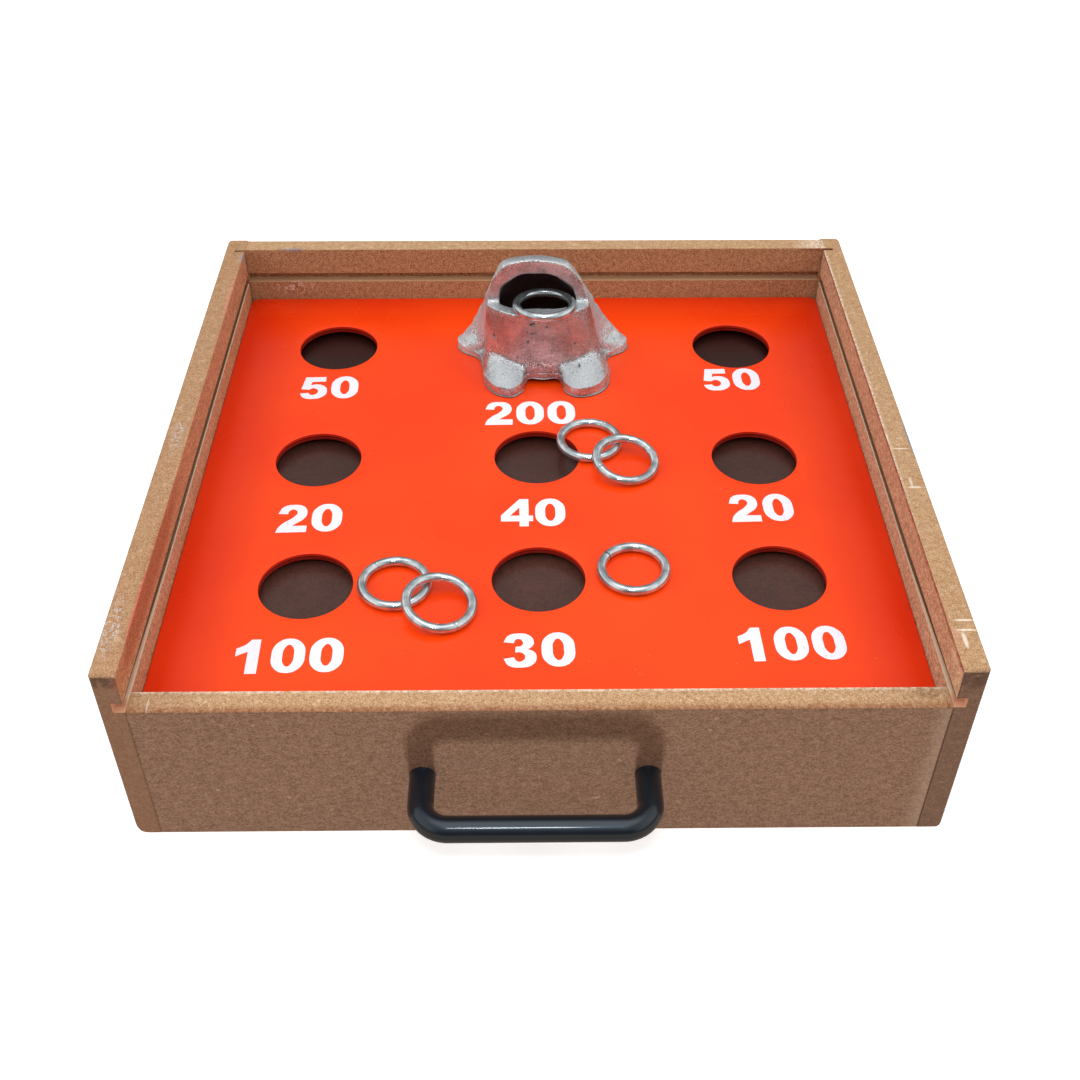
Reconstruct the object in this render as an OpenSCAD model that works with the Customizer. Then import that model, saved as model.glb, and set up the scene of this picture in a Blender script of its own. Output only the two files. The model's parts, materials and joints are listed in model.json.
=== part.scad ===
// Frog toss game: an open fibreboard case with a lift-out game board, a cast frog and six wire rings.
// Millimetres. Origin on the floor under the middle of the case, +X right, +Y to the back, +Z up.

/* [Case] */
// Width of the case over both side panels
case_w = 480; // [420:1:560]
// Depth of the case from front face to back face
case_d = 463; // [420:1:540]
// Thickness of the four wall panels
wall_t = 15; // [13:0.5:20]
// Height of the side and back panels
side_h = 135.5; // [128:0.5:160]
// Height of the front panel, which is also the floor of the lid groove
front_h = 107.5; // [103:0.5:112]
// Thickness of the bottom panel inside the walls
bottom_t = 9; // [5:0.5:15]
// Radius of the sanded outer corners
corner_r = 4; // [1:0.5:6]
// Radius of the sanded top edges
edge_r = 2; // [0.5:0.25:3]

/* [Lid groove and saw slots] */
// Height of the lid groove
groove_h = 7.2; // [5:0.1:9]
// Depth of the lid groove into the panels
groove_d = 6.5; // [5:0.1:8]
// Width of the upright saw slot beside the back panel
kerf_w = 3.2; // [1:0.1:5]
// Depth of the saw slot into the side panel
kerf_d = 7.7; // [3:0.1:9]

/* [Ledges] */
// Width of the ledges that carry the board
ledge_w = 15; // [10:1:22]
// Height of the ledges
ledge_h = 15; // [10:1:25]

/* [Game board] */
// Height of the board's top face above the floor
board_top = 92; // [80:0.5:96]
// Thickness of the red sheet
sheet_t = 5; // [4:0.5:8]
// Thickness of the spacer strips under the sheet
spacer_t = 4; // [3:0.5:8]
// Width of the spacer strips
spacer_w = 18; // [12:1:24]
// Thickness of the backing sheet
backing_t = 3; // [2:0.5:6]
// Gap between the board and the case all round
board_gap = 1; // [0.4:0.1:2]
// Radius of the board's corners
board_r = 6; // [2:0.5:10]
// Diameter of the score holes
hole_d = 58; // [50:1:64]
// Distance of the outer columns of holes from the middle
hole_col = 149; // [140:1:155]
// Middle of the front row of holes, from the middle of the case
row_front = -111; // [-125:1:-95]
// Middle of the middle row of holes
row_mid = 9; // [0:1:16]
// Middle of the back row of holes
row_back = 146; // [130:1:155]
// How far the front left hole was drilled off its mark, to the right
stray_x = 6; // [0:1:10]
// How far the front left hole was drilled off its mark, to the front
stray_y = 5; // [0:1:8]
// How far the hole in the middle was drilled off its row, to the back
stray_mid = 2; // [0:1:6]

/* [Handle] */
// Distance between the handle's screws
handle_c = 128; // [96:1:192]
// Diameter of the handle's round bar
handle_d = 15; // [13:0.5:18]
// Reach of the bar's centre line from the front panel
handle_reach = 37.5; // [34:0.5:50]
// Radius of the handle's bends along the centre line
handle_bend = 16; // [12:1:22]
// Height of the handle's middle above the floor
handle_z = 52; // [45:1:72]
// Offset of the handle's middle from the middle of the case
handle_x = -3; // [-20:1:20]
// Diameter of the handle screws
screw_d = 5; // [4:0.5:6]
// Depth of the screw in the handle post
screw_grip = 20; // [12:1:22]

/* [Frog] */
// Place of the frog across the board
frog_x = 5.8; // [-10:0.1:12]
// Place of the frog along the board
frog_y = 122; // [115:1:140]
// Height of the lower lip above the board
lip_h = 54; // [48:0.5:60]
// Height of the upper jaw above the lower lip
jaw_h = 32.5; // [28:0.5:40]
// Thickness of the casting at the mouth
frog_wall = 9; // [6:0.5:10]
// Lean of the head to the frog's right, per millimetre of height
frog_lean = -0.075; // [-0.1:0.005:0.1]
// How far the back of the head swells behind the jaw
head_swell = 25; // [18:1:32]

/* [Rings] */
// Outer diameter of a ring
ring_od = 45.2; // [42:0.2:48]
// Diameter of the ring's wire
wire_d = 6; // [4:0.2:7]
// Centre of the lone ring, across the board
lone_x = 59; // [57:1:70]
// Centre of the lone ring, along the board
lone_y = -106; // [-120:1:-95]
// Centre of the lower ring by the middle hole, across the board
mid_x = 36.6; // [34:0.2:45]
// Centre of the lower ring by the middle hole, along the board
mid_y = 24.7; // [15:0.1:30]
// Bearing of the ring that leans on it, from the right hand side
mid_bearing = -48; // [-60:1:-30]
// Centre of the lower ring by the front left hole, across the board
left_x = -88; // [-92:1:-80]
// Centre of the lower ring by the front left hole, along the board
left_y = -118; // [-125:1:-110]
// Bearing of the ring that leans on it, from the right hand side
left_bearing = -36; // [-50:1:-20]
// Distance between the centres of a leaning ring and the ring under it
lean_c = 34.6; // [30:0.2:38]
// Slope of the ring in the mouth, in degrees, with its far side lower
mouth_tilt = 5; // [2:0.5:10]
// Centre of the ring in the mouth, to the right of the frog's middle
mouth_x = 0.5; // [-4:0.5:3]
// Centre of the ring in the mouth, behind the frog's middle
mouth_y = -10; // [-14:0.5:-8]

/* [Nails] */
// Diameter of a nail's shank
nail_d = 2; // [1.2:0.1:3]
// Diameter of a nail's head
nail_head_d = 4; // [3:0.1:6]
// How far a corner or bottom nail goes past the wall
nail_hold = 23; // [15:1:30]
// How far a ledge nail goes into the wall
nail_bite = 9; // [5:0.5:12]
// Diameter of a board pin
pin_d = 1.4; // [1:0.1:2]
// Thickness of the red sheet left over a pin's tip
pin_cover = 2; // [1:0.5:3]

/* [Hidden] */
$fn = 64;

// Extra length of a cutter past the face it cuts
over = 1;
// Gap between a ring and what it lies on, and under the frog's feet
seat_gap = 0.3;

// Inside half width and half depth of the case
in_x = case_w / 2 - wall_t;
in_y = case_d / 2 - wall_t;
// Half width and half depth of the board
board_x = in_x - board_gap;
board_y = in_y - board_gap;
// Undersides of the board's three layers
sheet_z = board_top - sheet_t;
spacer_z = sheet_z - spacer_t;
backing_z = spacer_z - backing_t;
ledge_z = backing_z - ledge_h;

// Lengths of the nails and pins, over their heads
wall_nail_len = wall_t + nail_hold;
ledge_nail_len = ledge_w + nail_bite;
pin_len = board_top - backing_z - pin_cover;
// Height of a nail's head, and the head of a board pin
nail_head_h = 1.2;
pin_head_d = 3;
pin_head_h = 0.6;
// Heights of the nails in a front corner and in a back corner, clear of the lid groove
front_nails = [front_h * 0.15, front_h * 0.5, front_h * 0.85];
back_nails = [front_h * 0.15, front_h * 0.5, (front_h + groove_h + side_h) / 2];
// How far along a ledge, a bottom edge or a spacer its nails lie, as shares of the half length
nail_places = [-0.75, 0, 0.75];
pin_places = [-0.8, -0.27, 0.27, 0.8];
end_pin_places = [-0.55, 0, 0.55];

// Washer under a handle screw, and the screw's head
washer_d = 14;
washer_t = 1.2;
head_d = 10;
head_h = 4;
// Room round a handle screw in the panel
screw_play = 0.3;
// Foot of a handle post on the panel, and how far it stands out round the bar
foot_lip = 0.4;
foot_d = handle_d + 2 * foot_lip;
foot_t = 1.5;

// Score holes: front row, middle row, back row
HOLES = [[stray_x - hole_col, row_front - stray_y], [0, row_front], [hole_col, row_front],
         [-hole_col, row_mid], [0, row_mid + stray_mid], [hole_col, row_mid],
         [-hole_col, row_back], [hole_col, row_back]];
// Middle of the inner spacer strips, between two columns of holes, and of the outer ones
mid_strip = hole_col / 2;
rim_strip = board_x - spacer_w / 2;

// Radius of a ring along its wire's centre line
ring_r = (ring_od - wire_d) / 2;
// Slope of a ring that leans on another: from its low side to where they cross it rises by a wire and a gap
lean_tilt = asin((wire_d + seat_gap) / (lean_c / 2 + ring_r));

// The frog's outline on the board, right half from the middle of the front to the middle of the back.
// Each point is across, along, the lower edge's height and the upper edge's height.
FOOT = [[0, -26, 3.5, 10], [11, -26, 3.5, 9.5], [16, -36, 0, 8.5], [24, -42, 0, 8], [35, -38, 0, 8],
        [42, -27, 0, 8], [44.5, -13, 1, 7], [46, 1, 1, 6], [50, 9, 0, 5], [60, 16, 0, 6],
        [64, 25, 0, 7], [59, 33, 0, 7], [48, 35, 0, 6], [36, 34, 1, 6], [20, 38, 1, 6], [0, 40, 1, 6]];
// Where the body's wall rises from the feet: across, along, height
WALL = [[0, -24, 13], [10, -23.5, 13], [16, -22.5, 14], [24, -19.5, 16], [31, -16, 18],
        [37, -12, 18], [41, -6, 15], [42.5, 1, 12], [42, 7, 12], [48, 13, 20],
        [52, 21, 25], [50, 27, 25], [43, 29, 21], [33, 30, 16], [19, 34, 14], [0, 36, 13]];
// Outer edge of the mouth: across, along, and how far up the jaw from 0 at the lip to 1 at the top
LIP = [[0, -20, 0], [8, -19.5, 0], [14, -18, 0], [20, -16, 0], [26, -13, 0],
       [31, -9.5, 0], [34.5, -6, 0], [36.5, -2.5, 0.01], [36, 0, 0.1], [34.6, 1, 0.25],
       [32.5, 1.5, 0.45], [28.5, 1.5, 0.65], [23.5, 1.5, 0.82], [16.5, 1.5, 0.93],
       [8.5, 1.5, 0.985], [0, 1.5, 1]];
// Steps between two outline points, and steps up the outer wall and down the inner wall
frog_span = 2;
frog_up = 8;
frog_down = 6;
// Rounding of the feet's upper edge
foot_r = 1.5;
// Size of the inner base against the wall's foot
cave_x = 0.8;
cave_y = 0.74;
// Share by which the casting is thinner at the corners of the mouth, which are at this point of the list
corner_thin = 0.25;
corner = 7;
// The hood is thicker round the upper jaw: by how much, and its middle and spread as shares of the height
hood_thick = 4;
hood_at = 0.8;
hood_spread = 0.28;
// The point that the mouth's edge faces: behind the frog's middle, and its share of the jaw's height
mouth_mid = 1.5;
mouth_up = 0.1;
// How the skin leaves the feet: shares by which it leans in, and on the flank, and its rise, and at the back
skin_in = [0.04, 0.08];
flank_in = [0.14, 0.12];
skin_up = 10;
back_up = 22;
cave_up = 14;
cave_back = 2;
// How the skin meets the mouth: its flare below the lip, its tuck behind the jaw, and its last direction
lip_flare = 0.06;
jaw_tuck = 0.12;
lip_out = 1.5;
lip_drop = 15;
jaw_up = 3;
// The brows, two bulges behind the jaw: their size, and their middle and spread as shares of the jaw's height
brow_h = 5;
brow_at = 0.85;
brow_spread = 0.11;
brow_drop = 10;

// A half outline becomes a whole one: the right half, then the left half back to the start
function whole(half) = concat(half,
    [for (i = [len(half) - 2:-1:1]) [for (c = [0:len(half[i]) - 1]) c == 0 ? -half[i][0] : half[i][c]]]);

// A smooth curve through a closed list of points: the place s, counted in points
function wrap(list, i) = list[(i + len(list)) % len(list)];
function smooth_at(list, s) =
    let (i = floor(s), f = s - i,
         a = wrap(list, i - 1), b = wrap(list, i), c = wrap(list, i + 1), d = wrap(list, i + 2))
    b + f / 2 * (c - a + f * (2 * a - 5 * b + 4 * c - d + f * (3 * (b - c) + d - a)));

// A cubic curve from a to d with the handles b and c, at the share f
function cubic(a, b, c, d, f) =
    pow(1 - f, 3) * a + 3 * f * pow(1 - f, 2) * b + 3 * f * f * (1 - f) * c + pow(f, 3) * d;

function unit(v) = v / norm(v);
// The head leans to one side as it rises
function leaned(p) = [p[0] + frog_lean * p[2], p[1], p[2]];

// Outer and inner edge of the mouth at a point of the lip
function mouth_rise(lip) = max(0, min(1, lip[2]));
function mouth_rim(lip) = [lip[0], lip[1], lip_h + jaw_h * mouth_rise(lip)];
function mouth_inside(lip) =
    let (rim = mouth_rim(lip),
         middle = [0, mouth_mid, lip_h + jaw_h * mouth_rise(lip) * mouth_up],
         thick = frog_wall * (1 - corner_thin * abs(lip[0]) / LIP[corner][0])
                 + hood_thick * exp(-pow((mouth_rise(lip) - hood_at) / hood_spread, 2)))
    rim + thick * unit(middle - rim);

// One rib of the frog: the outer skin up from the feet, over the lip and down the inner skin
function frog_rib(foot, wall, lip) =
    let (rise = mouth_rise(lip),
         flank = 4 * rise * (1 - rise),
         back = pow(rise, 4),
         base_z = max(0, foot[2]),
         rim = mouth_rim(lip),
         inner = mouth_inside(lip),
         edge = [foot[0], foot[1], foot[3]],
         shelf = edge + foot_r * unit([wall[0] - foot[0], wall[1] - foot[1], 0]),
         start = wall + [-wall[0] * (skin_in[0] + flank_in[0] * flank),
                         -wall[1] * (skin_in[1] + flank_in[1] * flank),
                         skin_up + back_up * back],
         bulge = brow_h * exp(-pow((rise - brow_at) / brow_spread, 2)),
         brow = bulge * unit(rim - [0, rim[1], lip_h - brow_drop]),
         turn = [lip[0] * (lip_flare - jaw_tuck * rise), 0, jaw_up * rise - lip_drop * (1 - rise)],
         finish = rim + turn + brow + [0, head_swell * rise - lip_out * (1 - rise), 0],
         roof = inner + turn + [0, (head_swell - frog_wall) * rise, 0],
         base = [wall[0] * cave_x, wall[1] * cave_y, base_z],
         floor_up = base + [-wall[0] * flank_in[1] * flank, cave_back * rise, cave_up + back_up * back])
    concat([[foot[0], foot[1], base_z],
            edge - [0, 0, foot_r],
            shelf,
            (shelf + wall) / 2],
           [for (k = [0:frog_up]) cubic(wall, start, finish, rim, k / frog_up)],
           [for (k = [0:frog_down]) cubic(inner, roof, floor_up, base, k / frog_down)]);

// A closed skin over ribs that meet all round and whose last point meets the first
module ribbed_skin(ribs) {
    n = len(ribs);
    m = len(ribs[0]);
    polyhedron(
        points = [for (rib = ribs) for (p = rib) p],
        faces = [for (i = [0:n - 1]) for (j = [0:m - 1])
            let (k = (i + 1) % n, l = (j + 1) % m,
                 a = i * m + j, b = i * m + l, c = k * m + l, d = k * m + j)
            for (t = [[a, b, c], [a, c, d]]) t],
        convexity = 6);
}

// Cutter that leaves a rounded edge along +Z; the edge lies on the axis and the solid is on its +X, +Y side
module edge_cutter(r, length) {
    translate([0, 0, -over])
        difference() {
            translate([-over, -over, 0]) cube([r + over, r + over, length + 2 * over]);
            translate([r, r, -over]) cylinder(r = r, h = length + 4 * over);
        }
}

// A nail along +Z with its head's top at the origin, pointing down
module nail(d, head_d, head_h, length) {
    translate([0, 0, -length]) cylinder(d = d, h = length - head_h);
    translate([0, 0, -head_h]) cylinder(d = head_d, h = head_h);
}

// Nails through the side panels into the ends of the front and back panels
module corner_nail_set() {
    for (s = [-1, 1]) {
        for (z = front_nails) translate([s * case_w / 2, wall_t / 2 - case_d / 2, z]) side_nail(s);
        for (z = back_nails) translate([s * case_w / 2, case_d / 2 - wall_t / 2, z]) side_nail(s);
    }
}

// A nail whose head lies in a side panel's outer face, on the side s
module side_nail(s) {
    rotate([0, s * 90, 0]) nail(nail_d, nail_head_d, nail_head_h, wall_nail_len);
}

// Nails through the walls into the edges of the bottom panel
module bottom_nail_set() {
    for (s = [-1, 1], p = nail_places) {
        translate([s * case_w / 2, p * in_y, bottom_t / 2]) side_nail(s);
        translate([p * in_x, s * case_d / 2, bottom_t / 2]) rotate([-s * 90, 0, 0])
            nail(nail_d, nail_head_d, nail_head_h, wall_nail_len);
    }
}

// Nails through the ledges into the walls
module ledge_nail_set() {
    for (s = [-1, 1], p = nail_places) {
        translate([s * (in_x - ledge_w), p * in_y, ledge_z + ledge_h / 2]) rotate([0, -s * 90, 0])
            nail(nail_d, nail_head_d, nail_head_h, ledge_nail_len);
        translate([p * (in_x - ledge_w), s * (in_y - ledge_w), ledge_z + ledge_h / 2]) rotate([s * 90, 0, 0])
            nail(nail_d, nail_head_d, nail_head_h, ledge_nail_len);
    }
}

// Pins up through the backing and the spacers into the red sheet
module board_pin_set() {
    for (x = [-rim_strip, -mid_strip, mid_strip, rim_strip], p = pin_places)
        translate([x, p * board_y, backing_z]) rotate([180, 0, 0])
            nail(pin_d, pin_head_d, pin_head_h, pin_len);
    for (s = [-1, 1], p = end_pin_places)
        translate([p * board_x, s * (board_y - spacer_w / 2), backing_z]) rotate([180, 0, 0])
            nail(pin_d, pin_head_d, pin_head_h, pin_len);
}

// The left side panel, with the lid groove open at the front and the saw slot by the back panel
module left_panel() {
    difference() {
        translate([-case_w / 2, -case_d / 2, 0]) cube([wall_t, case_d, side_h]);
        translate([-in_x - groove_d, -case_d / 2 - over, front_h])
            cube([groove_d + over, case_d - wall_t + over, groove_h]);
        translate([-in_x - kerf_d, in_y - kerf_w, -over]) cube([kerf_d + over, kerf_w, side_h + 2 * over]);
        translate([-case_w / 2, -case_d / 2, 0]) edge_cutter(corner_r, side_h);
        translate([-case_w / 2, case_d / 2, 0]) rotate(-90) edge_cutter(corner_r, side_h);
        translate([-case_w / 2, case_d / 2, side_h]) rotate([90, 90, 0]) edge_cutter(edge_r, case_d);
        translate([-case_w / 2, -case_d / 2, side_h]) rotate([0, 90, 0]) edge_cutter(edge_r, wall_t);
        translate([-case_w / 2, -case_d / 2, 0]) rotate([0, 90, 0]) rotate(90) edge_cutter(corner_r, wall_t);
        corner_nail_set();
        bottom_nail_set();
        ledge_nail_set();
    }
}

module side_panel_left() {
    color("sienna") left_panel();
}

module side_panel_right() {
    color("sienna") mirror([1, 0, 0]) left_panel();
}

module front_panel() {
    color("sienna") difference() {
        translate([-in_x, -case_d / 2, 0]) cube([2 * in_x, wall_t, front_h]);
        translate([-in_x, -case_d / 2, front_h]) rotate([0, 90, 0]) edge_cutter(edge_r, 2 * in_x);
        handle_places() translate([0, -over, 0]) rotate([-90, 0, 0])
            cylinder(d = screw_d + 2 * screw_play, h = wall_t + 2 * over);
        corner_nail_set();
        bottom_nail_set();
        ledge_nail_set();
    }
}

module back_panel() {
    color("sienna") difference() {
        translate([-in_x, in_y, 0]) cube([2 * in_x, wall_t, side_h]);
        translate([-in_x - over, in_y - over, front_h]) cube([2 * (in_x + over), groove_d + over, groove_h]);
        translate([-in_x, case_d / 2, side_h]) rotate([0, 90, 0]) rotate(-90) edge_cutter(edge_r, 2 * in_x);
        corner_nail_set();
        bottom_nail_set();
        ledge_nail_set();
    }
}

module bottom_panel() {
    color("peru") difference() {
        translate([-in_x, -in_y, 0]) cube([2 * in_x, 2 * in_y, bottom_t]);
        bottom_nail_set();
    }
}

// A ledge along the side s
module side_ledge(s) {
    color("peru") difference() {
        translate([s > 0 ? in_x - ledge_w : -in_x, -in_y, ledge_z]) cube([ledge_w, 2 * in_y, ledge_h]);
        ledge_nail_set();
    }
}

// A ledge along the front or back, between the side ledges, cut away where a handle washer would meet it
module end_ledge(s) {
    color("peru") difference() {
        translate([ledge_w - in_x, s > 0 ? in_y - ledge_w : -in_y, ledge_z])
            cube([2 * (in_x - ledge_w), ledge_w, ledge_h]);
        ledge_nail_set();
        handle_places() translate([0, wall_t - over, 0]) rotate([-90, 0, 0])
            cylinder(d = washer_d + 2 * screw_play, h = ledge_w + 2 * over);
    }
}

module ledge_left() {
    side_ledge(-1);
}

module ledge_right() {
    side_ledge(1);
}

module ledge_front() {
    end_ledge(-1);
}

module ledge_back() {
    end_ledge(1);
}

// Puts its children on the front face at both handle screws
module handle_places() {
    for (s = [-1, 1]) translate([handle_x + s * handle_c / 2, -case_d / 2, handle_z]) children();
}

// A bow of round bar: two posts, two bends and a straight grip
module handle() {
    post = handle_reach - handle_bend;
    grip = handle_c - 2 * handle_bend;
    color([0.11, 0.12, 0.13]) difference() {
        union() {
            handle_places() {
                rotate([90, 0, 0]) cylinder(d = handle_d, h = post);
                rotate([90, 0, 0]) cylinder(d = foot_d, h = foot_t);
            }
            for (s = [-1, 1])
                translate([handle_x + s * grip / 2, -case_d / 2 - post, handle_z])
                    rotate(s > 0 ? -90 : 180) rotate_extrude(angle = 90)
                        translate([handle_bend, 0]) circle(d = handle_d);
            translate([handle_x - grip / 2, -case_d / 2 - handle_reach, handle_z]) rotate([0, 90, 0])
                cylinder(d = handle_d, h = grip);
        }
        handle_places() translate([0, over, 0]) rotate([90, 0, 0])
            cylinder(d = screw_d, h = screw_grip + over);
    }
}

module handle_screws() {
    color("silver") handle_places() {
        translate([0, wall_t + washer_t, 0]) rotate([90, 0, 0])
            cylinder(d = screw_d, h = wall_t + washer_t + screw_grip);
        translate([0, wall_t + washer_t, 0]) rotate([-90, 0, 0]) cylinder(d = head_d, h = head_h);
    }
}

module handle_washers() {
    color("silver") handle_places() translate([0, wall_t, 0]) rotate([-90, 0, 0])
        difference() {
            cylinder(d = washer_d, h = washer_t);
            translate([0, 0, -over]) cylinder(d = screw_d + 2 * screw_play, h = washer_t + 2 * over);
        }
}

module corner_nails() {
    color("silver") corner_nail_set();
}

module ledge_nails() {
    color("silver") ledge_nail_set();
}

module bottom_nails() {
    color("silver") bottom_nail_set();
}

// A sheet the size of the board with rounded corners
module board_sheet(z, t) {
    difference() {
        translate([-board_x, -board_y, z]) cube([2 * board_x, 2 * board_y, t]);
        for (a = [0:90:270]) {
            turned = a % 180 == 90;
            rotate(a) translate([turned ? -board_y : -board_x, turned ? -board_x : -board_y, z])
                edge_cutter(board_r, t);
        }
        board_pin_set();
    }
}

module game_board() {
    color("orangered") difference() {
        board_sheet(sheet_z, sheet_t);
        for (p = HOLES) translate([p[0], p[1], sheet_z - over]) cylinder(d = hole_d, h = sheet_t + 2 * over);
    }
}

module board_backing() {
    color([0.35, 0.28, 0.24]) board_sheet(backing_z, backing_t);
}

// A spacer strip that runs from front to back, with its middle at x
module long_spacer(x) {
    color("tan") difference() {
        translate([x - spacer_w / 2, spacer_w - board_y, spacer_z])
            cube([spacer_w, 2 * (board_y - spacer_w), spacer_t]);
        board_pin_set();
    }
}

// A spacer strip along the front or back edge, between the rounded corners
module end_spacer(s) {
    color("tan") difference() {
        translate([board_r - board_x, s > 0 ? board_y - spacer_w : -board_y, spacer_z])
            cube([2 * (board_x - board_r), spacer_w, spacer_t]);
        board_pin_set();
    }
}

module spacer_left() {
    long_spacer(-rim_strip);
}

module spacer_right() {
    long_spacer(rim_strip);
}

module spacer_front() {
    end_spacer(-1);
}

module spacer_back() {
    end_spacer(1);
}

module spacer_mid_left() {
    long_spacer(-mid_strip);
}

module spacer_mid_right() {
    long_spacer(mid_strip);
}

module board_pins() {
    color("silver") board_pin_set();
}

// A hollow casting on four feet with its mouth open to the front
module frog() {
    foot = whole(FOOT);
    wall = whole(WALL);
    lip = whole(LIP);
    count = len(foot) * frog_span;
    ribs = [for (i = [0:count - 1])
        let (s = i / frog_span)
        [for (p = frog_rib(smooth_at(foot, s), smooth_at(wall, s), smooth_at(lip, s))) leaned(p)]];
    color("silver") translate([frog_x, frog_y, board_top + seat_gap]) ribbed_skin(ribs);
}

// A welded wire ring with its centre at the origin
module ring() {
    color("lightgray") rotate_extrude() translate([ring_r, 0]) circle(d = wire_d);
}

// A ring flat on the board
module flat_ring(x, y) {
    translate([x, y, board_top + seat_gap + wire_d / 2]) ring();
}

// A ring whose far side is on the board and whose near side leans on the ring at x, y
module leaning_ring(x, y, bearing) {
    translate([x, y, board_top + seat_gap + wire_d / 2]) rotate(bearing)
        translate([lean_c + ring_r * (1 - cos(lean_tilt)), 0, ring_r * sin(lean_tilt)])
            rotate([0, lean_tilt, 0]) ring();
}

module ring_1() {
    flat_ring(lone_x, lone_y);
}

module ring_2() {
    flat_ring(mid_x, mid_y);
}

module ring_3() {
    leaning_ring(mid_x, mid_y, mid_bearing);
}

module ring_4() {
    flat_ring(left_x, left_y);
}

module ring_5() {
    leaning_ring(left_x, left_y, left_bearing);
}

// The ring that lies on the lower lip, over the edge at this point of the list, with its far side dipping in
module ring_6() {
    seat = mouth_inside(LIP[corner - 2]);
    rise = seat_gap + wire_d / 2 / cos(mouth_tilt) + (seat[1] - mouth_y) * tan(mouth_tilt);
    translate([frog_x + mouth_x, frog_y + mouth_y, board_top + seat_gap + seat[2] + rise])
        rotate([-mouth_tilt, 0, 0]) ring();
}

side_panel_left();
side_panel_right();
front_panel();
back_panel();
bottom_panel();
ledge_left();
ledge_right();
ledge_front();
ledge_back();
handle();
handle_screws();
handle_washers();
corner_nails();
ledge_nails();
bottom_nails();
game_board();
spacer_left();
spacer_right();
spacer_front();
spacer_back();
spacer_mid_left();
spacer_mid_right();
board_backing();
board_pins();
frog();
ring_1();
ring_2();
ring_3();
ring_4();
ring_5();
ring_6();
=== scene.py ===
import json
import bmesh
import bpy
import numpy as np
from mathutils import Matrix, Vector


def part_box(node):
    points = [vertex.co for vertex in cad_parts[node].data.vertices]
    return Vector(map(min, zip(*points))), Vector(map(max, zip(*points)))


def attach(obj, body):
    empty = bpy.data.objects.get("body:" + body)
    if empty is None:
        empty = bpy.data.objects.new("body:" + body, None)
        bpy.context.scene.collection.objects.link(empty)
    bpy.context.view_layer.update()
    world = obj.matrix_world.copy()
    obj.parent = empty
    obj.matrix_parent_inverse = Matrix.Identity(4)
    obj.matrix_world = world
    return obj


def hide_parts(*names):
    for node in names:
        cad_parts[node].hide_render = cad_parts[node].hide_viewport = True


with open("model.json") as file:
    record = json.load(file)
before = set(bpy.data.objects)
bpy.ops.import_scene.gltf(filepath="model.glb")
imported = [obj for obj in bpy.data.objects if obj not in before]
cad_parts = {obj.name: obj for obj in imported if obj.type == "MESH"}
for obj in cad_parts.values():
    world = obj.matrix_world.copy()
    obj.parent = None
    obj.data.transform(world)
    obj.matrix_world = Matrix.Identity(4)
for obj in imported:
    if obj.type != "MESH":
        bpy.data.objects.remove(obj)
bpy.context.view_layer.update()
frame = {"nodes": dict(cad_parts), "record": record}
nodes = frame["nodes"]
mm = 0.001
print("frame loaded:", len(nodes), "nodes")


# low and high corner of a node as arrays
def nodeBox(name):
    low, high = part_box(name)
    return np.array(low), np.array(high)


# planes of the case that its walls and their finish share
rightLow, rightHigh = nodeBox("side_panel_right")
frontLow, frontHigh = nodeBox("front_panel")
backLow, backHigh = nodeBox("back_panel")
innerFace, rimTop = float(rightLow[0]), float(rightHigh[2])
frontFace, frontInside, backFace = float(frontLow[1]), float(frontHigh[1]), float(backLow[1])
grooveHeight = 7.2 * mm
grooveFloor = float(frontHigh[2])
grooveRoof = grooveFloor + grooveHeight


# matrix of an object from its three axes and its place
def axesMatrix(right, up, back, place):
    matrix = np.eye(4)
    matrix[:3] = np.stack([right, up, back, place], -1)
    return Matrix(matrix.tolist())


# camera: solved from the photograph's straight edges
cameraView = {
    "place": (-0.00708, -0.7148, 0.6608),
    "pitch": 41.648,   # degrees below level
    "yaw": 0.750,      # degrees to the right
    "roll": 0.194,
    "lens": 44.753,    # mm, on a sensor of this width
    "sensor": 36,
    "nearest": 0.01,
}


# looks along yaw and pitch, then rolls about that line
def makeCamera(view):
    pitch, yaw, roll = np.radians([view["pitch"], view["yaw"], view["roll"]])
    ahead = np.array([np.sin(yaw) * np.cos(pitch), np.cos(yaw) * np.cos(pitch), -np.sin(pitch)])
    level = np.array([np.cos(yaw), -np.sin(yaw), 0])
    above = np.cross(level, ahead)
    right = level * np.cos(roll) + above * np.sin(roll)
    up = above * np.cos(roll) - level * np.sin(roll)
    data = bpy.data.cameras.new("camera")
    data.sensor_width = view["sensor"]
    data.lens = view["lens"]
    data.clip_start = view["nearest"]
    camera = bpy.data.objects.new("camera", data)
    camera.matrix_world = axesMatrix(right, up, -ahead, view["place"])
    bpy.context.scene.collection.objects.link(camera)
    bpy.context.scene.camera = camera


makeCamera(cameraView)
print("camera placed")


# value over a surface: a node's output, whose sums, differences and products are further nodes
class Field:
    def __init__(self, socket):
        self.socket = socket
        self.tree = socket.id_data

    def __add__(self, other):
        return maths("ADD", self, other)

    def __sub__(self, other):
        return maths("SUBTRACT", self, other)

    def __rsub__(self, other):
        return maths("SUBTRACT", other, self)

    def __mul__(self, other):
        return maths("MULTIPLY", self, other)

    def __abs__(self):
        return maths("ABSOLUTE", self)

    __radd__ = __add__
    __rmul__ = __mul__


# inputs of a node by name or number: a field is linked, anything else is set
def fill(node, values):
    for key, value in values.items():
        if isinstance(value, Field):
            value.tree.links.new(value.socket, node.inputs[key])
        else:
            node.inputs[key].default_value = value


# new shader node with its settings and inputs
def addNode(tree, kind, values=None, **settings):
    node = tree.nodes.new("ShaderNode" + kind)
    for key, value in settings.items():
        setattr(node, key, value)
    fill(node, values or {})
    return node


# tree of the first field among some values
def treeOf(*values):
    return next(value.tree for value in values if isinstance(value, Field))


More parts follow.
